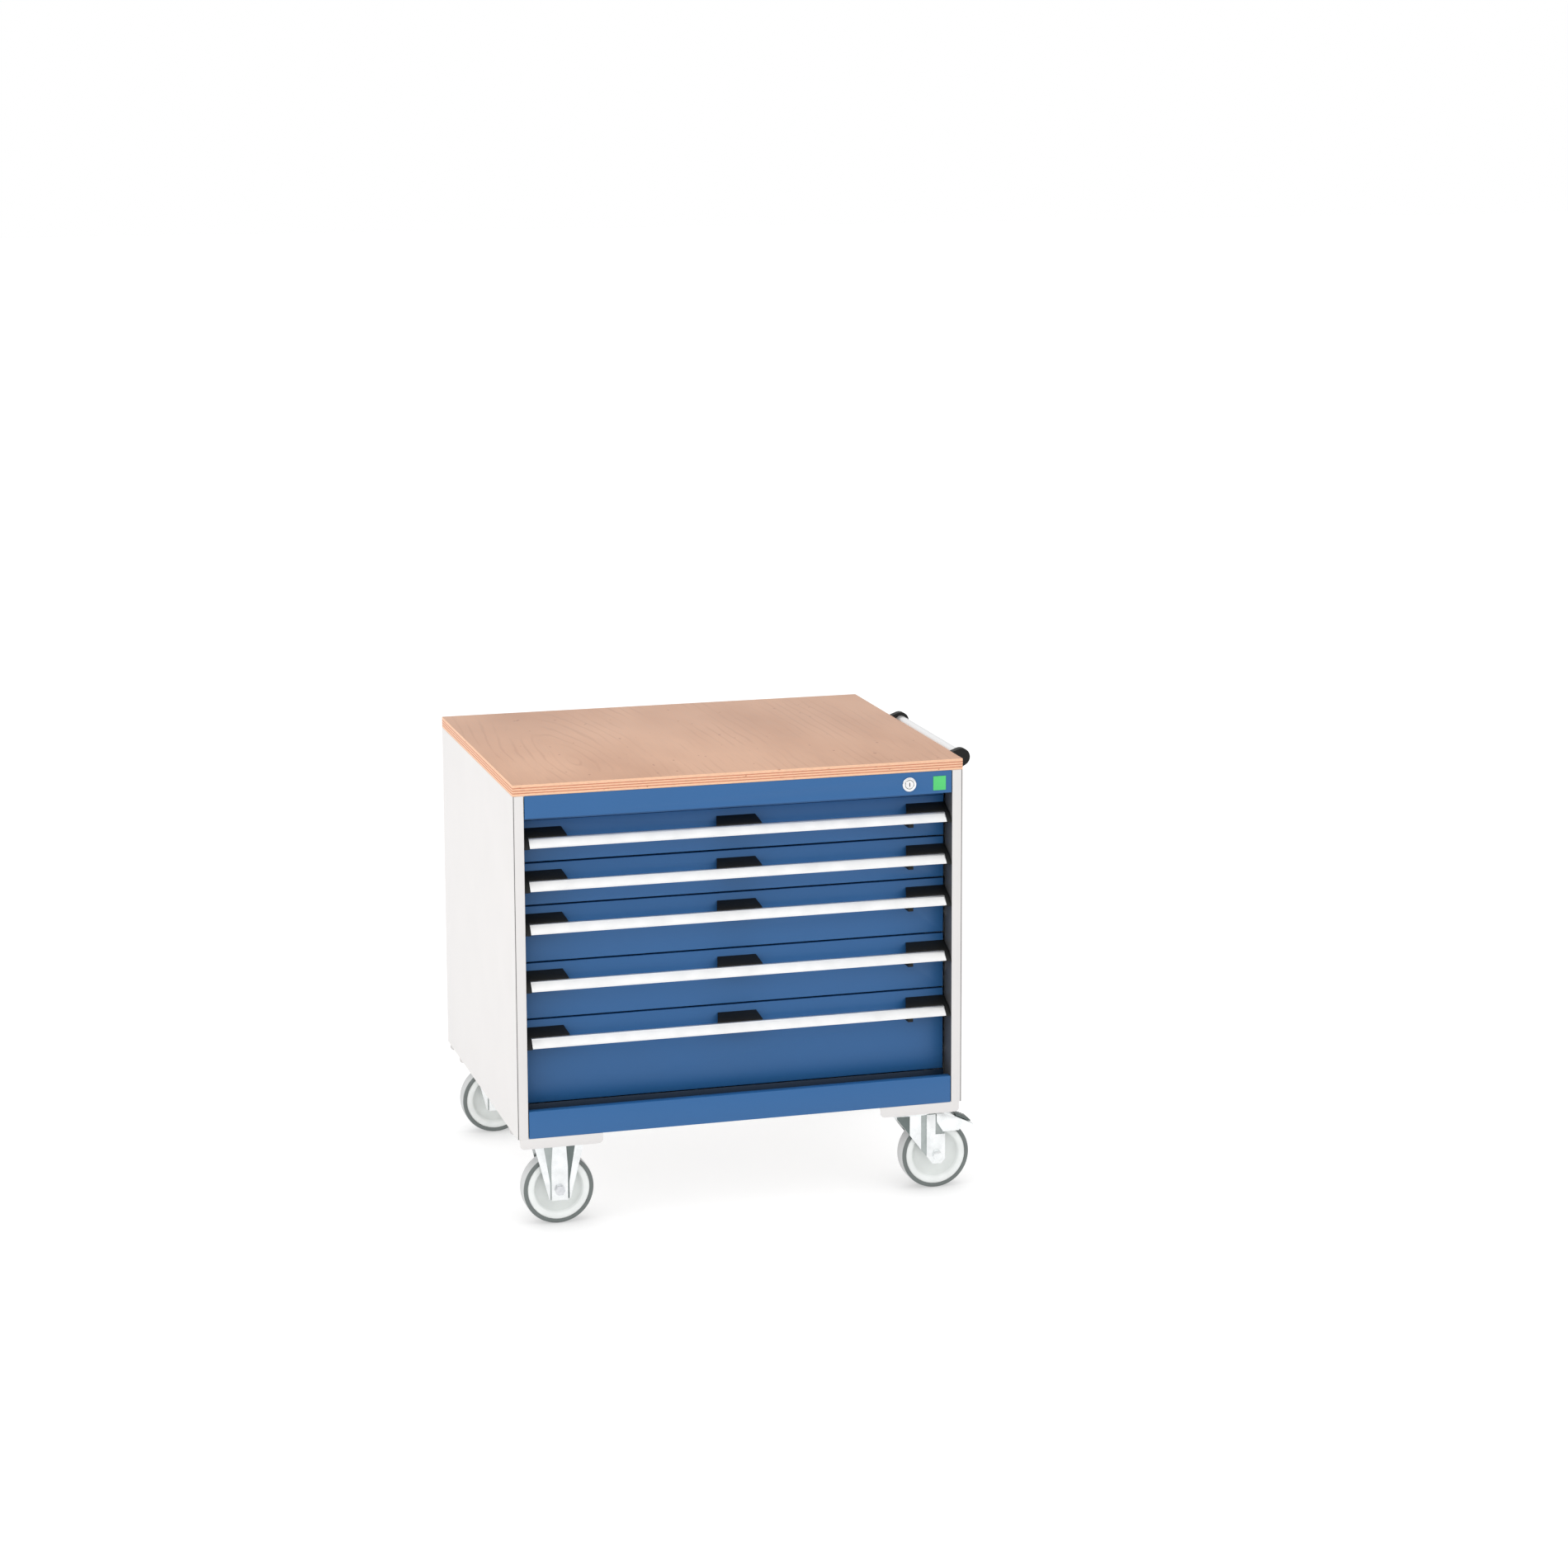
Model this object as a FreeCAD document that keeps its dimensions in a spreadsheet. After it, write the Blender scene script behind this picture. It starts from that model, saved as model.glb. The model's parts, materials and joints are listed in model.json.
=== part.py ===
"""Mobile workbench: a steel cabinet of five drawers under a plywood top, on four castors.

Frame: +Z up, +X towards the push handle, drawers open towards -Y, origin on the floor at the
middle of the whole box. Millimetres.
"""
import FreeCAD, Part
import os
import re
import Sketcher

Vector = FreeCAD.Vector
Rotation = FreeCAD.Rotation

# Driving dimensions, one cell of the spreadsheet each; a text is a formula on the other cells.
SIZES = {
    # cabinet and worktop
    "width": 800, "depth": 650, "top_thick": 20, "skin": 1.5,
    "stand_height": "=2 * wheel_rad + castor_rise",
    "row_base": 50, "small_row": 75, "medium_row": 100, "large_row": 150, "head_room": 50,
    "post_width": 19.5, "front_recess": 41, "rear_flange": 26, "plinth_height": 48,
    "fascia_height": 39.5, "skin_gap": 1, "bend": 2, "back_thick": 1.2, "lip_depth": 13,
    "seam_set": 1.2, "seam_wide": 1.2, "seam_deep": 0.9,
    "upright_width": 30, "nut_room": 1.5,
    # telescopic runners, measured inwards from the side panel's outer face
    "runner_set": 40.5, "runner_throw": 16.5, "runner_height": 46, "runner_thick": 1.5,
    "runner_gap": 0.4, "runner_centre": 36, "runner_front": 71, "runner_long": 560,
    "slide_long": 540,
    # drawers
    "front_gap": 3, "side_gap": 2.5, "pan_depth": 10, "tray_skin": 1.2, "tray_set": 59.5,
    "tray_lift": 6, "tray_drop": 15, "tray_long": 527.4,
    # handle strip, its brackets and the safety catch; drops are below the top of the row
    "grip_set": 29, "strip_reach": 41, "strip_top": 26.5, "strip_low": 41.6, "strip_skin": 1.8,
    "strip_slope": 12, "strip_lip": 6, "slant_head": 1.44, "slant_foot": 2.88,
    "holder_top": 14, "holder_low": 39.5, "holder_wide": 62, "holder_flare": 8, "holder_half": 34,
    "holder_set": 1.4, "holder_knee": 36.5, "rest_drop": 24.8, "rest_long": 4.4, "cut_spare": 2,
    "cap_thick": 8.5, "cap_rise": 1.4, "cap_ease": 0.8, "cap_nose": 1.2, "cap_foot": 3, "fit_gap": 0.3,
    "catch_set": 92.5, "catch_wide": 9, "catch_long": 10, "catch_low": 50, "catch_thick": 4,
    "catch_rise": 4,
    # central lock
    "lock_set": 98, "lock_drop": 21, "lock_proud": 2, "lock_head": 12.5, "lock_barrel": 10,
    "lock_plug": 6, "lock_long": 47, "running": 0.05, "key_wide": 1.6, "key_tall": 7,
    "crank": 10, "crank_side": "=crank / sqrt(2)", "crank_pin": 2.5, "crank_rim": 1,
    "crank_thick": 2.5, "slot_gap": 0.6, "slot_spare": 0.5, "arm_spare": 4,
    "bar_set": 6, "bar_wide": 10, "bar_thick": 3,
    "bar_back": 53, "arm_height": 15, "hook_reach": 18, "hook_height": 9, "hook_low": 28,
    "tab_low": 39, "tab_height": 10, "tab_thick": 4, "tab_back": 59, "tab_set": 24,
    # push handle at the side
    "grip_reach": 43, "grip_boss": 16, "grip_pipe": 10, "grip_wall": 1.5, "grip_drop": 7,
    "grip_pitch": 362, "grip_cheek": 14, "grip_seat": 9, "arm_top": 1, "arm_low": 43.5, "screw_high": 12,
    "screw_step": 18,
    # castors; drops are below the cabinet's underside
    "bracket_width": 145, "bracket_depth": 94, "bracket_inset": 4.5, "bracket_drop": 18,
    "bracket_thick": 3, "bracket_round": 7, "plate_wide": 105, "plate_deep": 85,
    "plate_thick": 3, "bolt_wide": 80, "bolt_deep": 68, "bolt_rad": 4, "bolt_clear": 4.3,
    "head_rad": 7.5, "head_tall": 5.3, "wheel_rad": 62.5, "tyre_wide": 34, "tyre_bed": 52.5,
    "tyre_round": 5, "hub_half": 18, "hub_rad": 13, "hub_foot": 18, "web_root": 9, "web_out": 38,
    "web_half": 7.5, "rim_foot": 42.5, "rim_step": 14.5, "rim_in": 44, "rim_half": 16,
    "rim_out": 51.5, "bed_half": 15, "nut_rad": 9, "axle_rad": 5, "leg_gap": 39,
    "leg_thick": 3, "castor_rise": 40, "trail": 39, "crown_drop": 20, "crown_thick": 4, "crown_rad": 36,
    "race_rad": 30, "race_gap": 0.3, "king_rad": 6, "king_head": 10, "king_tall": 5,
    "leg_top": 48, "leg_foot": 19, "foot_low": 18.5, "foot_cut": 3, "rib_top": 10.5,
    "rib_half": 14.5, "rib_knee": 42.5, "wing_top": 17, "wing_foot": 2, "wing_end": 14.5,
    "fork_half": 15, "fork_low": 15.5, "fork_cut": 8, "back_drop": 30, "ear_drop": 30.3,
    "ear_slope": 2.2, "rib_drop": 7, "rib_back": 19.5, "rib_shelf": 38.5, "gusset_wide": 24,
    "gusset_low": 62,
    "pedal_half": 25.5, "pedal_skin": 2.5, "pedal_pin": 3, "pin_along": 46, "pin_drop": 35.5,
    "pedal_back": 38, "pedal_top": 26.5, "pedal_flat": 52, "pedal_bend": 75, "pedal_reach": 107,
    "pedal_tip": 50.6, "pedal_skirt": 60, "shoe_back": 54, "shoe_front": 66, "shoe_top": 33,
    "shoe_low": 40, "shoe_wide": 24,
    # screws
    "wood_screw": 2, "wood_bite": 14, "screw_head": 4.5, "head_thin": 2, "foot_screw": 2.5,
    "foot_bite": 10, "screw_side": 60, "screw_end": 70,
}

# Places that many pieces share, as expressions of the cells.
MID = "(-(grip_reach + grip_boss) / 2)"
FRONT = "(lock_proud / 2 - depth / 2)"
BACK = "(lock_proud / 2 + depth / 2)"
HEIGHT = "(row_base + 2 * small_row + 2 * medium_row + large_row + head_room)"
TOP = "(stand_height + " + HEIGHT + ")"
FACE = "(" + FRONT + " + front_recess)"
SIDES = {"left": -1, "right": 1}
CASTORS = {"front_left": (-1, -1), "rear_left": (-1, 1), "front_right": (1, -1), "rear_right": (1, 1)}
SEAT = "bracket_thick + plate_thick"
AXLE_Z = "wheel_rad"
AXLE_DROP = "(stand_height - wheel_rad)"

doc = FreeCAD.newDocument("drawer_cabinet")
sheet = doc.addObject("Spreadsheet::Sheet", "Sizes")
for line, (word, value) in enumerate(SIZES.items(), 1):
    sheet.set("A" + str(line), str(value))
    sheet.setAlias("A" + str(line), word)
doc.recompute()
nodes = []


# ---------------------------------------------------------------- helpers

def bound(text):
    """The expression with every word of the sheet written as its cell."""
    return re.sub("[a-z_]+", lambda hit: "Sizes." + hit[0] if hit[0] in SIZES else hit[0], str(text))


def size(text):
    """The present value of an expression."""
    value = sheet.evalExpression(bound(text))
    return getattr(value, "Value", value)


def place(item, at):
    for axis, text in zip("xyz", at):
        item.setExpression("Placement.Base." + axis, bound(text))
    return item


def inset(side, distance):
    """X of a plane set in from a side panel's outer face."""
    return f"({MID} + {side} * (width / 2 - ({distance})))"


LOCK_X = inset(1, "lock_set")
LOCK_Z = f"({TOP} - lock_drop)"
CATCH_X = inset(1, "catch_set")
WOOD_SPOTS = [(f"{MID} + {x} * (width / 2 - screw_side)", f"lock_proud / 2 + {y} * (depth / 2 - screw_end)")
              for x in (-1, 0, 1) for y in (-1, 1)]
GRIP_SPOTS = [(f"{FRONT} + depth / 2 + {end} * grip_pitch / 2", f"{TOP} - grip_drop - {drop}")
              for end in (-1, 1) for drop in ("screw_high", "(screw_high + screw_step)")]


def castor_x(side):
    return f"({MID} + {side} * (width / 2 - bracket_inset - bracket_width / 2))"


def castor_y(end):
    return f"(lock_proud / 2 + {end} * (depth / 2 - bracket_depth / 2))"


def bolt_spots(side, end):
    return [(f"{castor_x(side)} + {x} * bolt_wide / 2", f"{castor_y(end)} + {y} * bolt_deep / 2")
            for x in (-1, 1) for y in (-1, 1)]


BOLT_SPOTS = [spot for castor in CASTORS.values() for spot in bolt_spots(*castor)]


def box(lengths, at):
    """A box by its three lengths and its lowest corner."""
    item = doc.addObject("Part::Box", "box")
    for name, text in zip(("Length", "Width", "Height"), lengths):
        item.setExpression(name, bound(text))
    return place(item, at)


def side_box(side, near, thick, y, z):
    """A box between two distances in from a side panel; y and z are (low, length)."""
    low = inset(side, f"{near} + ({thick})") if side > 0 else inset(side, near)
    return box((thick, y[1], z[1]), (low, y[0], z[0]))


def rod(radius, length, at, along="z"):
    """A cylinder that starts at a point and runs along +X, +Y or +Z."""
    item = doc.addObject("Part::Cylinder", "rod")
    item.setExpression("Radius", bound(radius))
    item.setExpression("Height", bound(length))
    turns = {"x": Rotation(Vector(0, 1, 0), 90), "y": Rotation(Vector(1, 0, 0), -90)}
    item.Placement.Rotation = turns.get(along, Rotation())
    return place(item, at)


def hexagon(radius, length, at, along="z"):
    item = doc.addObject("Part::Prism", "hexagon")
    item.Polygon = 6
    item.setExpression("Circumradius", bound(radius))
    item.setExpression("Height", bound(length))
    item.Placement.Rotation = Rotation(Vector(1, 0, 0), -90) if along == "y" else Rotation()
    return place(item, at)


def join(*pieces):
    item = doc.addObject("Part::MultiFuse", "joined")
    item.Shapes = pieces
    item.Refine = True
    return item


def cut(base, *tools):
    item = doc.addObject("Part::Cut", "cut")
    item.Base = base
    item.Tool = tools[0] if len(tools) == 1 else join(*tools)
    return item


def node(label, *pieces):
    """One named sub-part; several pieces stay separate solids."""
    item = pieces[0]
    if len(pieces) > 1:
        item = doc.addObject("Part::Compound", label)
        item.Links = pieces
    item.Label = label
    nodes.append(item)


def new_body():
    return doc.addObject("PartDesign::Body", "body")


def new_sketch(owner, plane, offset):
    """A sketch on one of the body's planes, moved along +X, +Y or +Z by the offset."""
    sketch = owner.newObject("Sketcher::SketchObject", "outline")
    base = [item for item in owner.Origin.OriginFeatures if item.Role == plane + "_Plane"]
    sketch.AttachmentSupport = (base[0], [""])
    sketch.MapMode = "FlatFace"
    sign = "-" if plane == "XZ" else ""
    sketch.setExpression("AttachmentOffset.Base.z", bound(f"{sign}({offset})"))
    return sketch


def bind(sketch, kind, name, *where):
    """A named constraint that follows an expression, given last."""
    text = where[-1]
    index = sketch.addConstraint(Sketcher.Constraint(kind, *where[:-1], size(text)))
    sketch.renameConstraint(index, name)
    sketch.setExpression("Constraints." + name, bound(text))


def add_loop(sketch, corners):
    """A closed outline of straight edges, every corner tied to its two expressions."""
    first = sketch.GeometryCount
    spots = [Vector(size(x), size(y), 0) for x, y in corners]
    for spot, following in zip(spots, spots[1:] + spots[:1]):
        sketch.addGeometry(Part.LineSegment(spot, following))
    for index in range(len(corners)):
        following = first + (index + 1) % len(corners)
        sketch.addConstraint(Sketcher.Constraint("Coincident", first + index, 2, following, 1))
    for index, (x, y) in enumerate(corners, first):
        bind(sketch, "DistanceX", f"x{index}", -1, 1, index, 1, x)
        bind(sketch, "DistanceY", f"y{index}", -1, 1, index, 1, y)


def outline(owner, plane, *loops, offset="0"):
    sketch = new_sketch(owner, plane, offset)
    for corners in loops:
        add_loop(sketch, corners)
    return sketch


def circles(owner, plane, *rounds, offset="0"):
    """Circles by centre and radius."""
    sketch = new_sketch(owner, plane, offset)
    for index, (x, y, radius) in enumerate(rounds):
        centre = Vector(size(x), size(y), 0)
        sketch.addGeometry(Part.Circle(centre, Vector(0, 0, 1), size(radius)))
        bind(sketch, "Radius", f"r{index}", index, radius)
        bind(sketch, "DistanceX", f"x{index}", -1, 1, index, 3, x)
        bind(sketch, "DistanceY", f"y{index}", -1, 1, index, 3, y)
    return sketch


def solid(owner, sketch, length, kind="Pad"):
    """A pad or pocket of the given length, centred on the sketch."""
    feature = owner.newObject("PartDesign::" + kind, kind.lower())
    feature.Profile = sketch
    feature.SideType = "Symmetric"
    feature.setExpression("Length", bound(length))
    return feature


def turned(owner, sketch):
    """The outline turned a full turn about the body's Y axis."""
    feature = owner.newObject("PartDesign::Revolution", "turned")
    feature.Profile = sketch
    feature.ReferenceAxis = (sketch, ["V_Axis"])
    feature.Angle = 360
    return feature


def rounded(owner, feature, radius, wanted):
    """Fillets on the feature's edges for which wanted(edge) is true."""
    doc.recompute()
    names = [f"Edge{i}" for i, edge in enumerate(feature.Shape.Edges, 1) if wanted(edge)]
    fillet = owner.newObject("PartDesign::Fillet", "rounded")
    fillet.Base = (feature, names)
    fillet.setExpression("Radius", bound(radius))
    return fillet


def upright_edge(*spots):
    """True for edges along Z that pass through one of the (x, y) spots."""
    places = [Vector(size(x), size(y), 0) for x, y in spots]

    def wanted(edge):
        room = edge.BoundBox
        here = Vector(room.Center.x, room.Center.y, 0)
        thin = room.XLength + room.YLength < 0.01
        return thin and any(here.distanceToPoint(spot) < 0.01 for spot in places)
    return wanted


def edge_along_y(*spots):
    """True for edges along Y that pass through one of the (x, z) spots."""
    places = [Vector(size(x), 0, size(z)) for x, z in spots]

    def wanted(edge):
        room = edge.BoundBox
        here = Vector(room.Center.x, 0, room.Center.z)
        thin = room.XLength + room.ZLength < 0.01
        return thin and any(here.distanceToPoint(spot) < 0.01 for spot in places)
    return wanted


# ---------------------------------------------------------------- worktop and carcass

def worktop():
    """The plywood board, soft along its upper edges, with pilot holes from below."""
    board = new_body()
    corners = [(f"{MID} + {x} * width / 2", y) for x, y in
               ((-1, FRONT), (1, FRONT), (1, BACK), (-1, BACK))]
    slab = solid(board, outline(board, "XY", corners, offset=f"{TOP} + top_thick / 2"), "top_thick")
    rounded(board, slab, "bend / 2", lambda edge: edge.BoundBox.ZMin > size(TOP) + 1)
    marks = circles(board, "XY", *[(x, y, "wood_screw") for x, y in WOOD_SPOTS], offset=TOP)
    solid(board, marks, "2 * wood_bite", "Pocket")
    node("worktop", board)


def side_panel(name):
    """A folded panel: front post with its seam and return, wall, rear flange and two uprights."""
    side = SIDES[name]
    panel = new_body()
    seam = (inset(side, "seam_set"), inset(side, "seam_set + seam_wide"))
    corners = [
        (inset(side, 0), FRONT),
        (seam[0], FRONT),
        (seam[0], f"{FRONT} + seam_deep"),
        (seam[1], f"{FRONT} + seam_deep"),
        (seam[1], FRONT),
        (inset(side, "post_width"), FRONT),
        (inset(side, "post_width"), FACE),
        (inset(side, "post_width - skin"), FACE),
        (inset(side, "post_width - skin"), f"{FRONT} + skin"),
        (inset(side, "skin"), f"{FRONT} + skin"),
        (inset(side, "skin"), f"{BACK} - skin"),
        (inset(side, "rear_flange"), f"{BACK} - skin"),
        (inset(side, "rear_flange"), BACK),
        (inset(side, 0), BACK),
    ]
    folded = solid(panel, outline(panel, "XY", corners, offset=f"{TOP} - {HEIGHT} / 2"), HEIGHT)
    bends = (corners[5], corners[-1])
    rounded(panel, folded, "bend", upright_edge(*bends))
    if side > 0:
        holes = [(y, z, "foot_screw + running") for y, z in GRIP_SPOTS]
        marks = circles(panel, "YZ", *holes, offset=inset(side, "skin / 2"))
        solid(panel, marks, "4 * skin", "Pocket")
    tall = ("stand_height + skin", f"{HEIGHT} - 2 * skin")
    webs = []
    for start in (f"{FRONT} + (bracket_depth + bolt_deep) / 2 + head_rad + nut_room",
                  f"{BACK} - (bracket_depth + upright_width) / 2"):
        web = side_box(side, "runner_set - skin", "skin", (start, "upright_width"), tall)
        near = side_box(side, "skin", "runner_set - 2 * skin", (start, "skin"), tall)
        far = side_box(side, "skin", "runner_set - 2 * skin",
                       (f"{start} + upright_width - skin", "skin"), tall)
        webs.append(join(web, near, far))
    node(name + "_side_panel", panel, *webs)


def deck(label, height, holes, radius):
    """A flat panel inside the walls, notched round the two posts."""
    whole = box(("width - 2 * skin", "depth - front_recess - skin - back_thick", "skin"),
                (inset(-1, "skin"), FACE, height))
    nose = box(("width - 2 * post_width", "front_recess - skin", "skin"),
               (inset(-1, "post_width"), f"{FRONT} + skin", height))
    drills = [rod(radius, "4 * skin", (x, y, f"{height} - skin")) for x, y in holes]
    node(label, cut(join(whole, nose), *drills))


def fascia(label, low, tall, flange_at, flange_depth, lock_hole):
    """A painted front rail between the posts, with a flange that runs back from one edge."""
    long = "width - 2 * (post_width + skin_gap)"
    start = inset(-1, "post_width + skin_gap")
    sheet_front = box((long, "skin", tall), (start, FRONT, low))
    flange = box((long, flange_depth, "skin"), (start, f"{FRONT} + skin", flange_at))
    rail = join(sheet_front, flange)
    if lock_hole:
        rail = cut(rail, rod("lock_barrel + running", "4 * skin",
                             (LOCK_X, f"{FRONT} - skin", LOCK_Z), "y"))
    node(label, rail)


def back_panel():
    node("back_panel", box(("width - 2 * skin", "back_thick", HEIGHT),
                           (inset(-1, "skin"), f"{BACK} - skin - back_thick", "stand_height")))


# ---------------------------------------------------------------- runners and drawers

def drawer_rows():
    """(number, row height, Z of the row's base) from the lowest drawer up."""
    rows = []
    base = "(stand_height + row_base)"
    for number, unit in ((5, "large_row"), (4, "medium_row"), (3, "medium_row"),
                         (2, "small_row"), (1, "small_row")):
        rows.append((number, unit, base))
        base = base[:-1] + " + " + unit + ")"
    return rows


def channel(side, near, throw, height, middle, y, opens_in):
    """A C-channel along Y: a web and two flanges that open inwards or outwards."""
    low = f"{middle} - ({height}) / 2"
    web_near = near if opens_in else f"{near} + ({throw}) - runner_thick"
    web = side_box(side, web_near, "runner_thick", y, (low, height))
    flanges = [side_box(side, near, throw, y, (z, "runner_thick"))
               for z in (low, f"{low} + ({height}) - runner_thick")]
    return join(web, *flanges)


def runners():
    """Fixed members on the uprights, one pair for every drawer."""
    members = []
    for row in drawer_rows():
        for side in SIDES.values():
            middle = f"({row[2]} + runner_centre)"
            y = (f"{FRONT} + runner_front", "runner_long")
            members.append(channel(side, "runner_set", "runner_throw", "runner_height", middle, y, True))
    node("cabinet_runners", *members)


def middle_slides(number, base):
    """The members between cabinet and drawer, which travel half as far as the drawer."""
    middle = f"({base} + runner_centre)"
    y = (f"{FRONT} + runner_front + 2", "slide_long")
    near = "runner_set + runner_thick + runner_gap"
    throw = "runner_throw - runner_thick - runner_gap"
    height = "runner_height - 2 * (runner_thick + runner_gap)"
    pair = [channel(side, near, throw, height, middle, y, True) for side in SIDES.values()]
    node(f"drawer_{number}_slides", *pair)


def tray(number, unit, base):
    """The drawer's steel tray with its own runner members and the tab that the lock holds."""
    wide = "width - 2 * tray_set"
    front = f"({FACE} + pan_depth)"
    low = f"({base} + tray_lift)"
    tall = f"{unit} - tray_drop"
    shell = cut(box((wide, "tray_long", tall), (inset(-1, "tray_set"), front, low)),
                box((f"{wide} - 2 * tray_skin", "tray_long - 2 * tray_skin", tall),
                    (inset(-1, "tray_set + tray_skin"), f"{front} + tray_skin", f"{low} + tray_skin")))
    tab = side_box(1, "tab_set", "tray_set - tab_set", (f"{FRONT} + tab_back", "tab_thick"),
                   (f"{base} + tab_low", "tab_height"))
    height = "runner_height - 4 * (runner_thick + runner_gap)"
    near = "runner_set + 2 * (runner_thick + runner_gap) + 0.7"
    y = (f"{FRONT} + runner_front + 2", "slide_long")
    members = [channel(side, near, f"tray_set - ({near})", height, f"({base} + runner_centre)", y, False)
               for side in SIDES.values()]
    node(f"drawer_{number}_body", join(shell, tab), *members)


def drawer_front(number, unit, base):
    """A shallow painted pan, open at the back, with a slot for the safety catch."""
    wide = "width - 2 * (post_width + side_gap)"
    tall = f"{unit} - front_gap"
    low = f"({base} + front_gap / 2)"
    start = inset(-1, "post_width + side_gap")
    pan = box((wide, "pan_depth", tall), (start, FACE, low))
    hollow = box((f"{wide} - 2 * tray_skin", "pan_depth", f"{tall} - 2 * tray_skin"),
                 (f"{start} + tray_skin", f"{FACE} + tray_skin", f"{low} + tray_skin"))
    slot = box(("catch_wide + 2 * fit_gap", "3 * tray_skin", "catch_thick + catch_rise + 2 * fit_gap"),
               (f"{CATCH_X} - catch_wide / 2 - fit_gap", f"{FACE} - tray_skin",
                f"{base} + {unit} - catch_low - fit_gap"))
    node(f"drawer_{number}_front", cut(pan, hollow, slot))


def strip_point(out, drop, top):
    """A point of the handle section: distance out from the drawer's face and drop from the top."""
    return (f"{FACE} - ({out})", f"{top} - ({drop})")


def handle(number, unit, base):
    """An aluminium strip of slanted section with a lip above and below."""
    strip = new_body()
    top = f"({base} + {unit})"
    reach = "strip_reach"
    crest = "strip_reach - strip_slope"
    section = [
        strip_point(f"{crest} - strip_lip", "strip_top", top),
        strip_point(crest, "strip_top", top),
        strip_point(reach, "strip_low - strip_skin", top),
        strip_point(reach, "strip_low", top),
        strip_point(f"{reach} - strip_lip", "strip_low", top),
        strip_point(f"{reach} - strip_lip", "strip_low - strip_skin", top),
        strip_point(f"{reach} - slant_foot", "strip_low - strip_skin", top),
        strip_point(f"{crest} - slant_head", "strip_top + strip_skin", top),
        strip_point(f"{crest} - strip_lip", "strip_top + strip_skin", top),
    ]
    solid(strip, outline(strip, "YZ", section, offset=MID), "width - 2 * grip_set")
    node(f"drawer_{number}_handle", strip)


def holder(top, middle, wide, flares, end):
    """A plastic bracket between drawer and strip; the outer ones also cap the strip's end."""
    part = new_body()
    lip = "strip_reach - strip_slope - strip_lip - fit_gap"
    section = [
        strip_point("0", "holder_top", top),
        strip_point(lip, "rest_drop", top),
        strip_point(lip, "strip_top + strip_skin + fit_gap", top),
        strip_point(f"{lip} + rest_long", "strip_top + strip_skin + fit_gap", top),
        strip_point("strip_reach - strip_lip - holder_set", "holder_knee", top),
        strip_point("strip_reach - strip_lip - holder_set", "holder_low", top),
        strip_point("0", "holder_low", top),
    ]
    solid(part, outline(part, "YZ", section, offset=middle), wide)
    out = "strip_reach - strip_lip"
    for sign in flares:
        edge = f"{middle} + {sign} * ({wide}) / 2"
        wedge = [(f"{edge} - {sign} * holder_flare", f"{FACE} + cut_spare"),
                 (f"{edge} + {sign} * cut_spare", f"{FACE} + cut_spare"),
                 (f"{edge} + {sign} * cut_spare", f"{FACE} - ({out})")]
        solid(part, outline(part, "XY", wedge, offset=top), "4 * strip_low", "Pocket")
    if end:
        cap = [
            strip_point("0", "holder_top", top),
            strip_point("strip_reach - strip_slope - strip_lip", "strip_top - cap_rise", top),
            strip_point("strip_reach - strip_slope", "strip_top + cap_ease", top),
            strip_point("strip_reach", "strip_low", top),
            strip_point("strip_reach", "strip_low + cap_nose", top),
            strip_point("strip_reach - strip_lip", "strip_low + cap_foot", top),
            strip_point("0", "strip_low + cap_foot", top),
        ]
        centre = inset(end, "grip_set - fit_gap - cap_thick / 2")
        solid(part, outline(part, "YZ", cap, offset=centre), "cap_thick")
    if end > 0:
        notch = [(f"{CATCH_X} + {x} * (catch_wide / 2 + 1)", f"{FACE} - strip_reach + strip_lip + {y}")
                 for x, y in ((-1, -1), (1, -1), (1, "catch_thick + 2"), (-1, "catch_thick + 2"))]
        solid(part, outline(part, "XY", notch, offset=f"{top} - holder_low"),
              "2 * (catch_rise + 3)", "Pocket")
    return part


def holders(number, unit, base):
    top = f"({base} + {unit})"
    blocks = []
    for side in SIDES.values():
        middle = inset(side, "grip_set - fit_gap + (holder_wide + holder_flare) / 2")
        wide = "holder_wide + holder_flare"
        blocks.append(holder(top, middle, wide, (-side,), side))
    wide = "2 * holder_half + 2 * holder_flare"
    blocks.append(holder(top, MID, wide, (-1, 1), 0))
    node(f"drawer_{number}_brackets", *blocks)


def catch(number, unit, base):
    """A finger tab behind the strip's lower lip, on a stem through the drawer front."""
    top = f"({base} + {unit})"
    start = f"{CATCH_X} - catch_wide / 2"
    nose = f"({FACE} - strip_reach + strip_lip + 1)"
    tab = box(("catch_wide", "catch_thick", "catch_long"), (start, nose, f"{top} - catch_low"))
    stem = box(("catch_wide", f"{FACE} + pan_depth - 2 - {nose}", "catch_thick"),
               (start, nose, f"{top} - catch_low"))
    node(f"drawer_{number}_catch", join(tab, stem))


# ---------------------------------------------------------------- central lock

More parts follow.
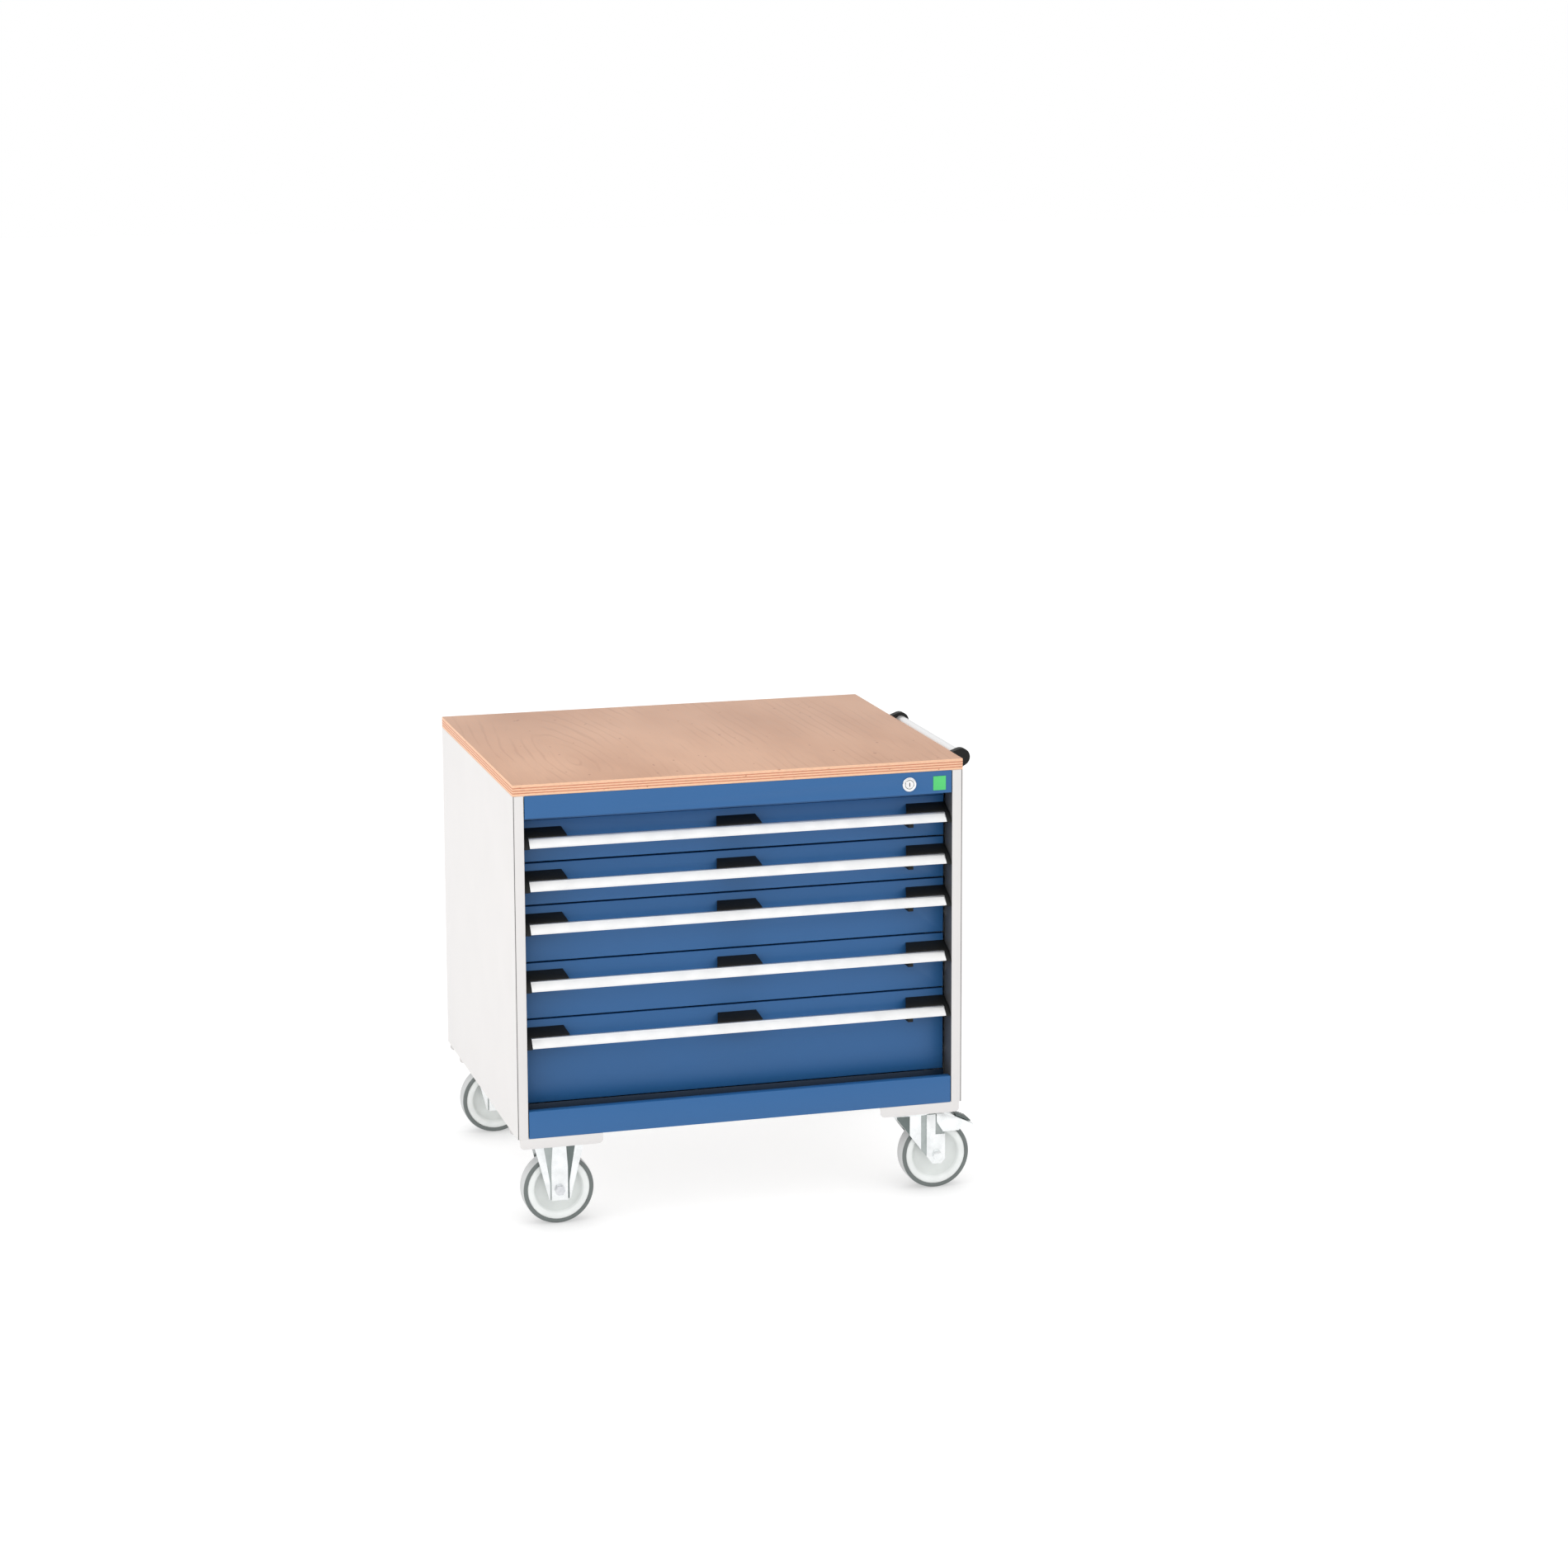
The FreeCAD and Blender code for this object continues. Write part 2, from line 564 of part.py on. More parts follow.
def lock():
    """Housing in the top fascia, plug with its crank, and the bar that holds every drawer."""
    head_y = f"({FRONT} - lock_proud)"
    housing = join(rod("lock_head", "lock_proud", (LOCK_X, head_y, LOCK_Z), "y"),
                   rod("lock_barrel", "lock_long", (LOCK_X, head_y, LOCK_Z), "y"))
    node("lock_housing", cut(housing, rod("lock_plug + running", "lock_long + 2",
                                          (LOCK_X, f"{head_y} - 1", LOCK_Z), "y")))
    crank_y = f"({head_y} + lock_long + fit_gap)"
    pin_x = f"({LOCK_X} + crank_side)"
    pin_z = f"({LOCK_Z} - crank_side)"
    plug = rod("lock_plug", "lock_long + 2 * fit_gap", (LOCK_X, head_y, LOCK_Z), "y")
    keyway = box(("key_wide", "lock_long / 2", "key_tall"),
                 (f"{LOCK_X} - key_wide / 2", f"{head_y} - 1", f"{LOCK_Z} - key_tall / 2"))
    web = rod("crank + crank_pin + crank_rim", "crank_thick", (LOCK_X, crank_y, LOCK_Z), "y")
    pin = rod("crank_pin", f"{FRONT} + bar_back + bar_thick + crank_rim - {crank_y}",
              (pin_x, crank_y, pin_z), "y")
    node("lock_cylinder", join(cut(plug, keyway), web, pin))

    bar_y = (f"{FRONT} + bar_back", "bar_thick")
    low = "(stand_height + row_base + hook_low)"
    arm_low = f"({pin_z} - arm_height / 2)"
    upright = side_box(1, "bar_set", "bar_wide", bar_y, (low, f"{arm_low} + arm_height - {low}"))
    arm = box(("lock_set - bar_set + arm_spare", "bar_thick", "arm_height"),
              (f"{LOCK_X} - arm_spare", bar_y[0], arm_low))
    hooks = [side_box(1, "bar_set", "bar_wide + hook_reach", bar_y, (f"{base} + hook_low", "hook_height"))
             for base in (row[2] for row in drawer_rows())]
    room = "crank_pin + slot_gap"
    slot = box((f"crank - crank_side + 2 * ({room} + slot_spare)", "3 * bar_thick", f"2 * ({room})"),
               (f"{pin_x} - ({room}) - slot_spare", f"{bar_y[0]} - bar_thick", f"{pin_z} - ({room})"))
    node("lock_bar", cut(join(upright, arm, *hooks), slot))


# ---------------------------------------------------------------- push handle

def push_handle():
    """A round bar between two black brackets on the right side panel."""
    axis_x = f"({inset(1, 0)} + grip_reach)"
    axis_z = f"({TOP} - grip_drop)"
    centre = f"({FRONT} + depth / 2)"
    span = "grip_pitch - grip_cheek + 2 * grip_seat"
    start = f"{centre} - ({span}) / 2"
    bar = rod("grip_pipe", span, (axis_x, start, axis_z), "y")
    bore = rod("grip_pipe - grip_wall", span, (axis_x, start, axis_z), "y")
    node("push_handle_tube", cut(bar, bore))
    cheeks = []
    for end in (-1, 1):
        cheek = new_body()
        plane = f"{FRONT} + depth / 2 + {end} * grip_pitch / 2"
        arm = [
            (inset(1, 0), f"{axis_z} + arm_top"),
            (f"{axis_x} - grip_boss * cos(69 deg)", f"{axis_z} + grip_boss * sin(69 deg)"),
            (f"{axis_x} + grip_boss * cos(60 deg)", f"{axis_z} - grip_boss * sin(60 deg)"),
            (inset(1, 0), f"{axis_z} - arm_low"),
        ]
        solid(cheek, outline(cheek, "XZ", arm, offset=plane), "grip_cheek")
        boss = circles(cheek, "XZ", (axis_x, axis_z, "grip_boss"), offset=plane)
        solid(cheek, boss, "grip_cheek")
        seat = circles(cheek, "XZ", (axis_x, axis_z, "grip_pipe + running"),
                       offset=f"{plane} - {end} * (grip_cheek / 2)")
        solid(cheek, seat, "2 * grip_seat", "Pocket")
        drills = circles(cheek, "YZ", *[(y, z, "foot_screw") for y, z in GRIP_SPOTS if y == plane],
                         offset=inset(1, 0))
        solid(cheek, drills, "2 * foot_bite", "Pocket")
        cheeks.append(cheek)
    node("push_handle_brackets", *cheeks)


# ---------------------------------------------------------------- castors

def below(drop):
    """Z at a drop below the cabinet's underside."""
    return f"(stand_height - ({drop}))"


def castor_bracket(side, end):
    """A shallow channel under the cabinet: a web and a flange at the front and the back."""
    part = new_body()
    x = [f"{castor_x(side)} + {sign} * bracket_width / 2" for sign in (-1, 1)]
    face = [(x[0], below(0)), (x[1], below(0)), (x[1], below("bracket_drop")), (x[0], below("bracket_drop"))]
    block = solid(part, outline(part, "XZ", face, offset=castor_y(end)), "bracket_depth")
    block = rounded(part, block, "bracket_round", edge_along_y(face[2], face[3]))
    inside = [(f"{x[0]} - 1", below("bracket_thick")), (f"{x[1]} + 1", below("bracket_thick")),
              (f"{x[1]} + 1", below("bracket_drop + 1")), (f"{x[0]} - 1", below("bracket_drop + 1"))]
    solid(part, outline(part, "XZ", inside, offset=castor_y(end)),
          "bracket_depth - 2 * bracket_thick", "Pocket")
    drills = circles(part, "XY", *[(x, y, "bolt_clear") for x, y in bolt_spots(side, end)],
                     offset=below(0))
    solid(part, drills, "4 * bracket_thick", "Pocket")
    return part


def castor_plate(side, end):
    plate = box(("plate_wide", "plate_deep", "plate_thick"),
                (f"{castor_x(side)} - plate_wide / 2", f"{castor_y(end)} - plate_deep / 2",
                 below("bracket_thick + plate_thick")))
    drills = [rod("bolt_clear", "4 * plate_thick", (x, y, below("bracket_thick + 3 * plate_thick")))
              for x, y in bolt_spots(side, end)]
    return plate, drills


def swivel_plate(side, end):
    """Top plate with the bearing race and the king pin that the fork turns on."""
    plate, drills = castor_plate(side, end)
    x, y = castor_x(side), castor_y(end)
    race = rod("race_rad", f"crown_drop - race_gap - ({SEAT})", (x, y, below("crown_drop - race_gap")))
    under = "crown_drop + crown_thick + race_gap"
    pin = rod("king_rad", f"{under} - ({SEAT})", (x, y, below(under)))
    head = rod("king_head", "king_tall", (x, y, below(f"{under} + king_tall")))
    return cut(join(plate, race, pin, head), *drills)


def fork_points(side, points):
    """Fork outline points: X from the castor's own axis, Z as a drop below the cabinet."""
    return [(f"{castor_x(side)} + {x}", below(drop)) for x, drop in points]


def fork(side, end, leg, ribs, web_drop, axle_x, holes=()):
    """Two pressed legs with raised ribs, joined by a web at the top."""
    part = new_body()
    y = castor_y(end)
    outer = "leg_gap + 2 * leg_thick"
    solid(part, outline(part, "XZ", fork_points(side, leg), offset=y), outer)
    for rib in ribs:
        solid(part, outline(part, "XZ", fork_points(side, rib), offset=y), outer + " + 2 * leg_thick")
    gap = [("-plate_wide", web_drop), ("plate_wide", web_drop), ("plate_wide", "stand_height"),
           ("-plate_wide", "stand_height")]
    solid(part, outline(part, "XZ", fork_points(side, gap), offset=y), "leg_gap", "Pocket")
    rounds = [(f"{castor_x(side)} + {axle_x}", AXLE_Z, "axle_rad + running")]
    rounds += [(f"{castor_x(side)} + {x}", below(drop), radius) for x, drop, radius in holes]
    solid(part, circles(part, "XZ", *rounds, offset=y), "3 * leg_gap", "Pocket")
    return part


def axle_bolt(side, end, axle_x):
    """A hex-headed axle bolt with its nut, across the fork."""
    x = f"{castor_x(side)} + {axle_x}"
    reach = "(leg_gap / 2 + 2 * leg_thick)"
    y = castor_y(end)
    return join(rod("axle_rad", f"2 * {reach}", (x, f"{y} - {reach}", AXLE_Z), "y"),
                hexagon("nut_rad", "head_tall", (x, f"{y} - {reach} - head_tall", AXLE_Z), "y"),
                hexagon("nut_rad", "head_tall", (x, f"{y} + {reach}", AXLE_Z), "y"))


def fixed_fork(side, end):
    """Legs that narrow to a blunt foot, a rib down the middle and one along each edge."""
    foot = f"{AXLE_DROP} + foot_low"
    leg = [("-leg_top", "bracket_thick"), ("leg_top", "bracket_thick"), ("leg_foot", f"{foot} - foot_cut"),
           ("leg_foot - 2 * foot_cut", foot), ("2 * foot_cut - leg_foot", foot),
           ("-leg_foot", f"{foot} - foot_cut")]
    knee = f"{AXLE_DROP} - rib_knee"
    ribs = [[("-rib_top", "bracket_thick"), ("rib_top", "bracket_thick"), ("rib_half", knee),
             ("rib_half", foot), ("-rib_half", foot), ("-rib_half", knee)]]
    for sign in (-1, 1):
        ribs.append([(f"{sign} * leg_top", "bracket_thick"),
                     (f"{sign} * (leg_top - wing_top)", "bracket_thick"),
                     (f"{sign} * (leg_foot - wing_foot)", f"{AXLE_DROP} - wing_end"),
                     (f"{sign} * (leg_foot - wing_foot)", f"{foot} - foot_cut + wing_foot / 2"),
                     (f"{sign} * leg_foot", f"{foot} - foot_cut")])
    part = fork(side, end, leg, ribs, SEAT, 0)
    plate, drills = castor_plate(side, end)
    return cut(join(part, plate), *drills)


def swivel_fork(side, end):
    """Legs that trail back from a round crown, with pressed ribs and ears for the pedal pin."""
    foot = f"{AXLE_DROP} + fork_low"
    front = "trail + fork_half"
    heel = [(front, f"{foot} - fork_cut"), ("trail + fork_cut", foot), ("trail - fork_cut", foot)]
    leg = [("-crown_rad", "crown_drop"), ("crown_rad", "crown_drop"), ("crown_rad", "ear_drop"),
           (front, "ear_drop + ear_slope"), *heel, ("trail - fork_half", f"{foot} - fork_cut - 1"),
           ("-crown_rad", "back_drop")]
    rib_top = "crown_drop + rib_drop"
    shelf = f"{AXLE_DROP} - rib_shelf"
    ribs = [[("trail - rib_back", rib_top), ("crown_rad", rib_top), ("crown_rad", shelf), (front, shelf),
             *heel, ("trail - rib_back", f"{foot} - rib_back / 2 - rib_drop + 2")],
            [("-crown_rad", rib_top), ("gusset_wide - crown_rad", rib_top),
             ("gusset_wide - crown_rad", "gusset_low"), ("-crown_rad", "back_drop")]]
    holes = [("pin_along", "pin_drop", "pedal_pin + running")]
    part = fork(side, end, leg, ribs, "crown_drop + crown_thick", "trail", holes)
    spot = (castor_x(side), castor_y(end))
    crown = circles(part, "XY", (*spot, "crown_rad"), offset=below("crown_drop + crown_thick / 2"))
    solid(part, crown, "crown_thick")
    bore = circles(part, "XY", (*spot, "king_rad + running"), offset=below("crown_drop"))
    solid(part, bore, "4 * crown_thick", "Pocket")
    return part


def brake_pedal(name, side, end):
    """A pressed cover over the wheel that turns on a pin across the fork and carries the shoe."""
    part = new_body()
    y = castor_y(end)
    cover = [("pedal_back", "pedal_top"), ("pedal_flat", "pedal_top + 0.5"), ("pedal_bend", "pedal_top + 9"),
             ("pedal_reach", "pedal_tip"), ("pedal_reach - 1.2", "pedal_tip + pedal_skin"),
             ("pedal_bend + 13", "pedal_tip - 5.4"), ("pedal_bend + 5", "pedal_skirt"),
             ("pedal_flat - 2", "pedal_skirt"), ("pedal_back + 2", "pedal_skirt - 16"),
             ("pedal_back", "pedal_skirt - 20")]
    solid(part, outline(part, "XZ", fork_points(side, cover), offset=y), "2 * pedal_half")
    inside = [("pedal_back - 2", "pedal_top + 2.8"), ("pedal_flat", "pedal_top + 3.1"),
              ("pedal_bend - 1", "pedal_top + 11.5"), ("pedal_bend + 14", "pedal_top + 18.5"),
              ("pedal_bend + 14", "pedal_skirt + 2"), ("pedal_back - 2", "pedal_skirt + 2")]
    solid(part, outline(part, "XZ", fork_points(side, inside), offset=y),
          "2 * (pedal_half - pedal_skin)", "Pocket")
    pin = circles(part, "XZ", (f"{castor_x(side)} + pin_along", below("pin_drop"), "pedal_pin"), offset=y)
    solid(part, pin, "2 * pedal_half")
    shoe = [("shoe_back", "shoe_top"), ("shoe_front", "shoe_top"), ("shoe_front", "shoe_low"),
            ("shoe_back", "shoe_low")]
    solid(part, outline(part, "XZ", fork_points(side, shoe), offset=y), "shoe_wide")
    node(name + "_brake_pedal", part)


def wheel(name, side, end, axle_x):
    """A moulded core with hub, dished web and rim, and the rubber tyre on it."""
    at = (f"{castor_x(side)} + {axle_x}", castor_y(end), AXLE_Z)
    core = new_body()
    half = [("axle_rad + running", "hub_half"), ("hub_rad", "hub_half"), ("hub_foot", "web_root"),
            ("web_out", "web_half"), ("rim_foot", "rim_step"), ("rim_in", "rim_half"),
            ("rim_out", "rim_half"), ("tyre_bed", "bed_half")]
    section = half + [(x, f"-({y})") for x, y in reversed(half)]
    turned(core, outline(core, "XY", section))
    node(name + "_wheel_core", place(core, at))
    tyre = new_body()
    ring = [("tyre_bed", "-tyre_wide / 2"), ("wheel_rad", "-tyre_wide / 2"),
            ("wheel_rad", "tyre_wide / 2"), ("tyre_bed", "tyre_wide / 2")]
    tread = turned(tyre, outline(tyre, "XY", ring))

    def shoulder(edge):
        return abs(edge.BoundBox.XMax - size("wheel_rad")) < 0.01 and edge.BoundBox.YLength < 0.01
    rounded(tyre, tread, "tyre_round", shoulder)
    node(name + "_tyre", place(tyre, at))


def castors():
    node("castor_brackets", *[castor_bracket(*spot) for spot in CASTORS.values()])
    node("fixed_castor_forks", fixed_fork(-1, -1), fixed_fork(-1, 1))
    node("swivel_castor_plates", swivel_plate(1, -1), swivel_plate(1, 1))
    for name, (side, end) in CASTORS.items():
        if side > 0:
            node(name + "_swivel_fork", swivel_fork(side, end), axle_bolt(side, end, "trail"))
            brake_pedal(name, side, end)
        wheel(name, side, end, "trail" if side > 0 else "0")


# ---------------------------------------------------------------- fasteners

def fasteners():
    """Castor bolts with nuts, fixed axle bolts, worktop screws and push-handle screws."""
    pieces = [axle_bolt(-1, -1, "0"), axle_bolt(-1, 1, "0")]
    for x, y in BOLT_SPOTS:
        low = below(f"{SEAT} + head_tall")
        pieces.append(join(rod("bolt_rad", f"{SEAT} + 2 * head_tall + skin + 2", (x, y, low)),
                           hexagon("head_rad", "head_tall", (x, y, low)),
                           hexagon("head_rad", "head_tall", (x, y, below("-skin")))))
    for x, y in WOOD_SPOTS:
        pieces.append(join(rod("wood_screw", "skin + wood_bite", (x, y, f"{TOP} - skin")),
                           rod("screw_head", "head_thin", (x, y, f"{TOP} - skin - head_thin"))))
    for y, z in GRIP_SPOTS:
        pieces.append(join(rod("foot_screw", "skin + foot_bite", (inset(1, "skin"), y, z), "x"),
                           rod("screw_head", "head_thin", (inset(1, "skin + head_thin"), y, z), "x")))
    node("carcass_fasteners", *pieces)


worktop()
side_panel("left")
side_panel("right")
back_panel()
deck("top_panel", f"{TOP} - skin", WOOD_SPOTS, "wood_screw + 0.2")
deck("base_panel", "stand_height", BOLT_SPOTS, "bolt_clear")
fascia("top_fascia", f"{TOP} - fascia_height", "fascia_height", f"{TOP} - fascia_height",
       "front_recess - skin", True)
fascia("bottom_fascia", "stand_height", "plinth_height", "stand_height + plinth_height - skin",
       "lip_depth", False)
runners()
lock()
push_handle()
castors()
for number, unit, base in reversed(drawer_rows()):
    tray(number, unit, base)
    drawer_front(number, unit, base)
    handle(number, unit, base)
    holders(number, unit, base)
    catch(number, unit, base)
    middle_slides(number, base)
fasteners()
doc.recompute()

# ---------------------------------------------------------------- checks and files

for item in doc.Objects:
    if "Invalid" in item.State or "Error" in item.State:
        raise RuntimeError(f"{item.Label} ({item.Name}) failed: {item.State}")
for item in nodes:
    if item.Shape.isNull() or not item.Shape.isValid() or not item.Shape.Solids:
        raise RuntimeError(f"{item.Label} has no valid solid")
os.makedirs("parts", exist_ok=True)
for item in nodes:
    item.Shape.exportStep("parts/" + item.Label + ".step")
    room = item.Shape.BoundBox
    print(f"{item.Label:28s} {len(item.Shape.Solids):2d} solids  X {room.XMin:8.2f} {room.XMax:8.2f}"
          f"  Y {room.YMin:8.2f} {room.YMax:8.2f}  Z {room.ZMin:8.2f} {room.ZMax:8.2f}")
print(len(nodes), "nodes")
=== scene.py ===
import bpy
import json
import math
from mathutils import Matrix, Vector


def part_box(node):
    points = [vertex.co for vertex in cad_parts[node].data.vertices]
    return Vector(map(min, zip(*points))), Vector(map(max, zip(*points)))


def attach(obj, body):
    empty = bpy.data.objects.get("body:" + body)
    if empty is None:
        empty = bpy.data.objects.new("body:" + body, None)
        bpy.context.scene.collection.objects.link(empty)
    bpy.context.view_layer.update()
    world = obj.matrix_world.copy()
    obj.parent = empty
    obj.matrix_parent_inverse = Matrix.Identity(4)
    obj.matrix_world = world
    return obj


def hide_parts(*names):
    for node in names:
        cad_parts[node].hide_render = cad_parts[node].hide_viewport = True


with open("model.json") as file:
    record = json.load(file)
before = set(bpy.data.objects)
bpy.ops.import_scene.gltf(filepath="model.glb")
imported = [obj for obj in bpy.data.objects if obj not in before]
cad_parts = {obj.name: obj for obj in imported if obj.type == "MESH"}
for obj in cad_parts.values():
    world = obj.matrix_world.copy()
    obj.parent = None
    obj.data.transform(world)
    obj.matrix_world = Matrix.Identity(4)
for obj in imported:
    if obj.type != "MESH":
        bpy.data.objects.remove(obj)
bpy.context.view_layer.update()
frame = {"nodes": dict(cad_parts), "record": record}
bpy.ops.object.select_all(action="DESELECT")
print("frame loaded:", len(frame["nodes"]), "nodes")

corners = ("front_left", "rear_left", "front_right", "rear_right")
drawers = range(1, 6)
meshCare = {
    "joinRing": 0.000001,
    "join": 0.000005,
    "flatDegrees": 0.5,
    "facing": 0.9,
}


def only(piece):
    bpy.ops.object.select_all(action="DESELECT")
    piece.select_set(True)
    bpy.context.view_layer.objects.active = piece
    return piece


def settle(piece):
    # the place goes into the mesh, so the object sits at the origin
    only(piece)
    bpy.ops.object.transform_apply(location=True, rotation=True, scale=True)
    return piece


def named(piece, name):
    piece.name = name
    piece.data.name = name
    return piece


def block(name, place, size, turn=(0, 0, 0)):
    bpy.ops.object.select_all(action="DESELECT")
    bpy.ops.mesh.primitive_cube_add(size=1, location=place, rotation=turn, scale=size)
    return settle(named(bpy.context.object, name))


def modify(piece, kind, **values):
    only(piece)
    bpy.ops.object.modifier_add(type=kind)
    modifier = piece.modifiers[-1]
    for key, value in values.items():
        setattr(modifier, key, value)
    bpy.ops.object.modifier_apply(modifier=modifier.name)
    return piece


def smooth(piece, degrees=32):
    only(piece)
    bpy.ops.object.shade_smooth_by_angle(angle=math.radians(degrees))
    return piece


def roundEdges(piece, width, segments=2, degrees=40):
    modify(piece, "BEVEL", width=width, segments=segments, limit_method="ANGLE",
           angle_limit=math.radians(degrees), harden_normals=False)
    return smooth(piece)


def selectFaces(piece, test):
    # leaves the piece in edit mode with only the wanted faces selected
    only(piece)
    bpy.ops.object.mode_set(mode="EDIT")
    bpy.ops.mesh.select_mode(type="FACE")
    bpy.ops.mesh.select_all(action="DESELECT")
    bpy.ops.object.mode_set(mode="OBJECT")
    for face in piece.data.polygons:
        face.select = test(face.center, face.normal)
    bpy.ops.object.mode_set(mode="EDIT")


def leaveEdit():
    bpy.ops.object.mode_set(mode="OBJECT")


def cutAcross(piece, point, normal):
    only(piece)
    bpy.ops.object.mode_set(mode="EDIT")
    bpy.ops.mesh.select_all(action="SELECT")
    bpy.ops.mesh.bisect(plane_co=point, plane_no=normal)
    leaveEdit()


def assignFaces(piece, slotIndex, test):
    for face in piece.data.polygons:
        if test(face.center, face.normal):
            face.material_index = slotIndex


def paint(piece, *finishes):
    piece.data.materials.clear()
    for finish in finishes:
        piece.data.materials.append(finish)
    return piece


def finishPiece(piece, body, slot, *nodes):
    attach(piece, body)
    if nodes:
        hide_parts(*nodes)
    return piece


def mergedCopy(node, name):
    # own mesh from a CAD node, its loose triangles joined and flat areas made whole
    piece = bpy.data.objects.new(name, frame["nodes"][node].data.copy())
    bpy.context.collection.objects.link(piece)
    named(piece, name)
    only(piece)
    bpy.ops.object.mode_set(mode="EDIT")
    bpy.ops.mesh.select_all(action="SELECT")
    bpy.ops.mesh.remove_doubles(threshold=meshCare["join"])
    bpy.ops.mesh.dissolve_limited(angle_limit=math.radians(meshCare["flatDegrees"]))
    leaveEdit()
    return piece


def turnedRing(name, outline, centre, steps=96):
    # outline of (radius, y) points drawn in one plane through the axis, then spun about it;
    # the first point is a small plane merged to its centre
    bpy.ops.object.select_all(action="DESELECT")
    start = Vector((centre[0] + outline[0][0], centre[1] + outline[0][1], centre[2]))
    bpy.ops.mesh.primitive_plane_add(size=0.002, location=(0, 0, 0))
    piece = named(bpy.context.object, name)
    bpy.ops.object.mode_set(mode="EDIT")
    bpy.ops.mesh.select_mode(type="VERT")
    bpy.ops.mesh.select_all(action="SELECT")
    bpy.ops.mesh.merge(type="CENTER")
    bpy.ops.transform.translate(value=start)
    at = start
    for radius, along in outline[1:] + outline[:1]:
        there = Vector((centre[0] + radius, centre[1] + along, centre[2]))
        bpy.ops.mesh.extrude_region_move(TRANSFORM_OT_translate={"value": there - at})
        at = there
    bpy.ops.mesh.select_all(action="SELECT")
    bpy.ops.mesh.remove_doubles(threshold=meshCare["joinRing"])
    bpy.ops.mesh.select_all(action="SELECT")
    bpy.ops.mesh.spin(steps=steps, angle=2 * math.pi, center=centre, axis=(0, 1, 0))
    bpy.ops.mesh.select_all(action="SELECT")
    bpy.ops.mesh.remove_doubles(threshold=meshCare["join"])
    bpy.ops.mesh.normals_make_consistent(inside=False)
    leaveEdit()
    return piece


def centreOf(box):
    low, high = box
    return Vector([(a + b) / 2 for a, b in zip(low, high)])


def newFinish(name, colour, roughness, metallic=0.0):
    finish = bpy.data.materials.new(name)
    finish.use_nodes = True
    nodes = finish.node_tree.nodes
    shader = nodes["Principled BSDF"]
    shader.inputs["Base Color"].default_value = (*colour, 1)
    shader.inputs["Roughness"].default_value = roughness
    shader.inputs["Metallic"].default_value = metallic
    return finish, nodes, finish.node_tree.links, shader


def coordinates(nodes, links, scale=(1, 1, 1), place=(0, 0, 0)):
    source = nodes.new("ShaderNodeTexCoord")
    mapping = nodes.new("ShaderNodeMapping")
    mapping.inputs["Scale"].default_value = scale
    mapping.inputs["Location"].default_value = place
    links.new(source.outputs["Object"], mapping.inputs["Vector"])
    return mapping.outputs["Vector"]


def noise(nodes, links, where, scale, detail=3, roughness=0.5):
    texture = nodes.new("ShaderNodeTexNoise")
    texture.inputs["Scale"].default_value = scale
    texture.inputs["Detail"].default_value = detail
    texture.inputs["Roughness"].default_value = roughness
    links.new(where, texture.inputs["Vector"])
    return texture.outputs["Fac"]


def ramp(nodes, links, factor, stops):
    node = nodes.new("ShaderNodeValToRGB")
    while len(node.color_ramp.elements) < len(stops):
        node.color_ramp.elements.new(0.5)
    for element, (position, colour) in zip(node.color_ramp.elements, stops):
        element.position = position
        element.color = (*colour, 1)
    links.new(factor, node.inputs["Fac"])
    return node.outputs["Color"]


def spread(nodes, links, factor, low, high, start=0.0, end=1.0):
    node = nodes.new("ShaderNodeMapRange")
    node.inputs["From Min"].default_value = start
    node.inputs["From Max"].default_value = end
    node.inputs["To Min"].default_value = low
    node.inputs["To Max"].default_value = high
    links.new(factor, node.inputs["Value"])
    return node.outputs["Result"]


def blendColours(nodes, links, kind, amount, first, second):
    node = nodes.new("ShaderNodeMix")
    node.data_type = "RGBA"
    node.blend_type = kind
    if isinstance(amount, float):
        node.inputs["Factor"].default_value = amount
    else:
        links.new(amount, node.inputs["Factor"])
    links.new(first, node.inputs["A"])
    links.new(second, node.inputs["B"])
    return node.outputs["Result"]


def bump(nodes, links, shader, height, strength, distance):
    node = nodes.new("ShaderNodeBump")
    node.inputs["Strength"].default_value = strength
    node.inputs["Distance"].default_value = distance
    links.new(height, node.inputs["Height"])
    links.new(node.outputs["Normal"], shader.inputs["Normal"])


def tint(colour, factor):
    return tuple(min(1, channel * factor) for channel in colour)


def clouded(nodes, links, shader, factor, colour, low, high):
    # the colour a little darker and lighter along a noise: low and high are (position, tint)
    links.new(ramp(nodes, links, factor, [(at, tint(colour, shade)) for at, shade in (low, high)]),
              shader.inputs["Base Color"])


coat = {
    "roughness": 0.42,
    "filmScale": 9,
    "filmTints": ((0.3, 0.985), (0.7, 1.015)),
    "satin": (0.38, 0.48),
    "peelScale": 900,
    "peel": 0.10,
    "peelDepth": 0.0003,
}


def powderCoat(name, colour):
    # fine orange peel and a slight unevenness of the film
    finish, nodes, links, shader = newFinish(name, colour, coat["roughness"])
    where = coordinates(nodes, links)
    film = noise(nodes, links, where, coat["filmScale"], 2)
    clouded(nodes, links, shader, film, colour, *coat["filmTints"])
    grain = noise(nodes, links, where, coat["peelScale"], 2)
    links.new(spread(nodes, links, film, *coat["satin"]), shader.inputs["Roughness"])
    bump(nodes, links, shader, grain, coat["peel"], coat["peelDepth"])
    return finish


plating = {
    "cloudTints": ((0.3, 0.9), (0.72, 1.08)),
    "satin": (0.75, 1.3),
    "lineStretch": (1, 1, 0.04),
    "lineScale": 1400,
    "line": 0.08,
    "lineDepth": 0.0002,
}


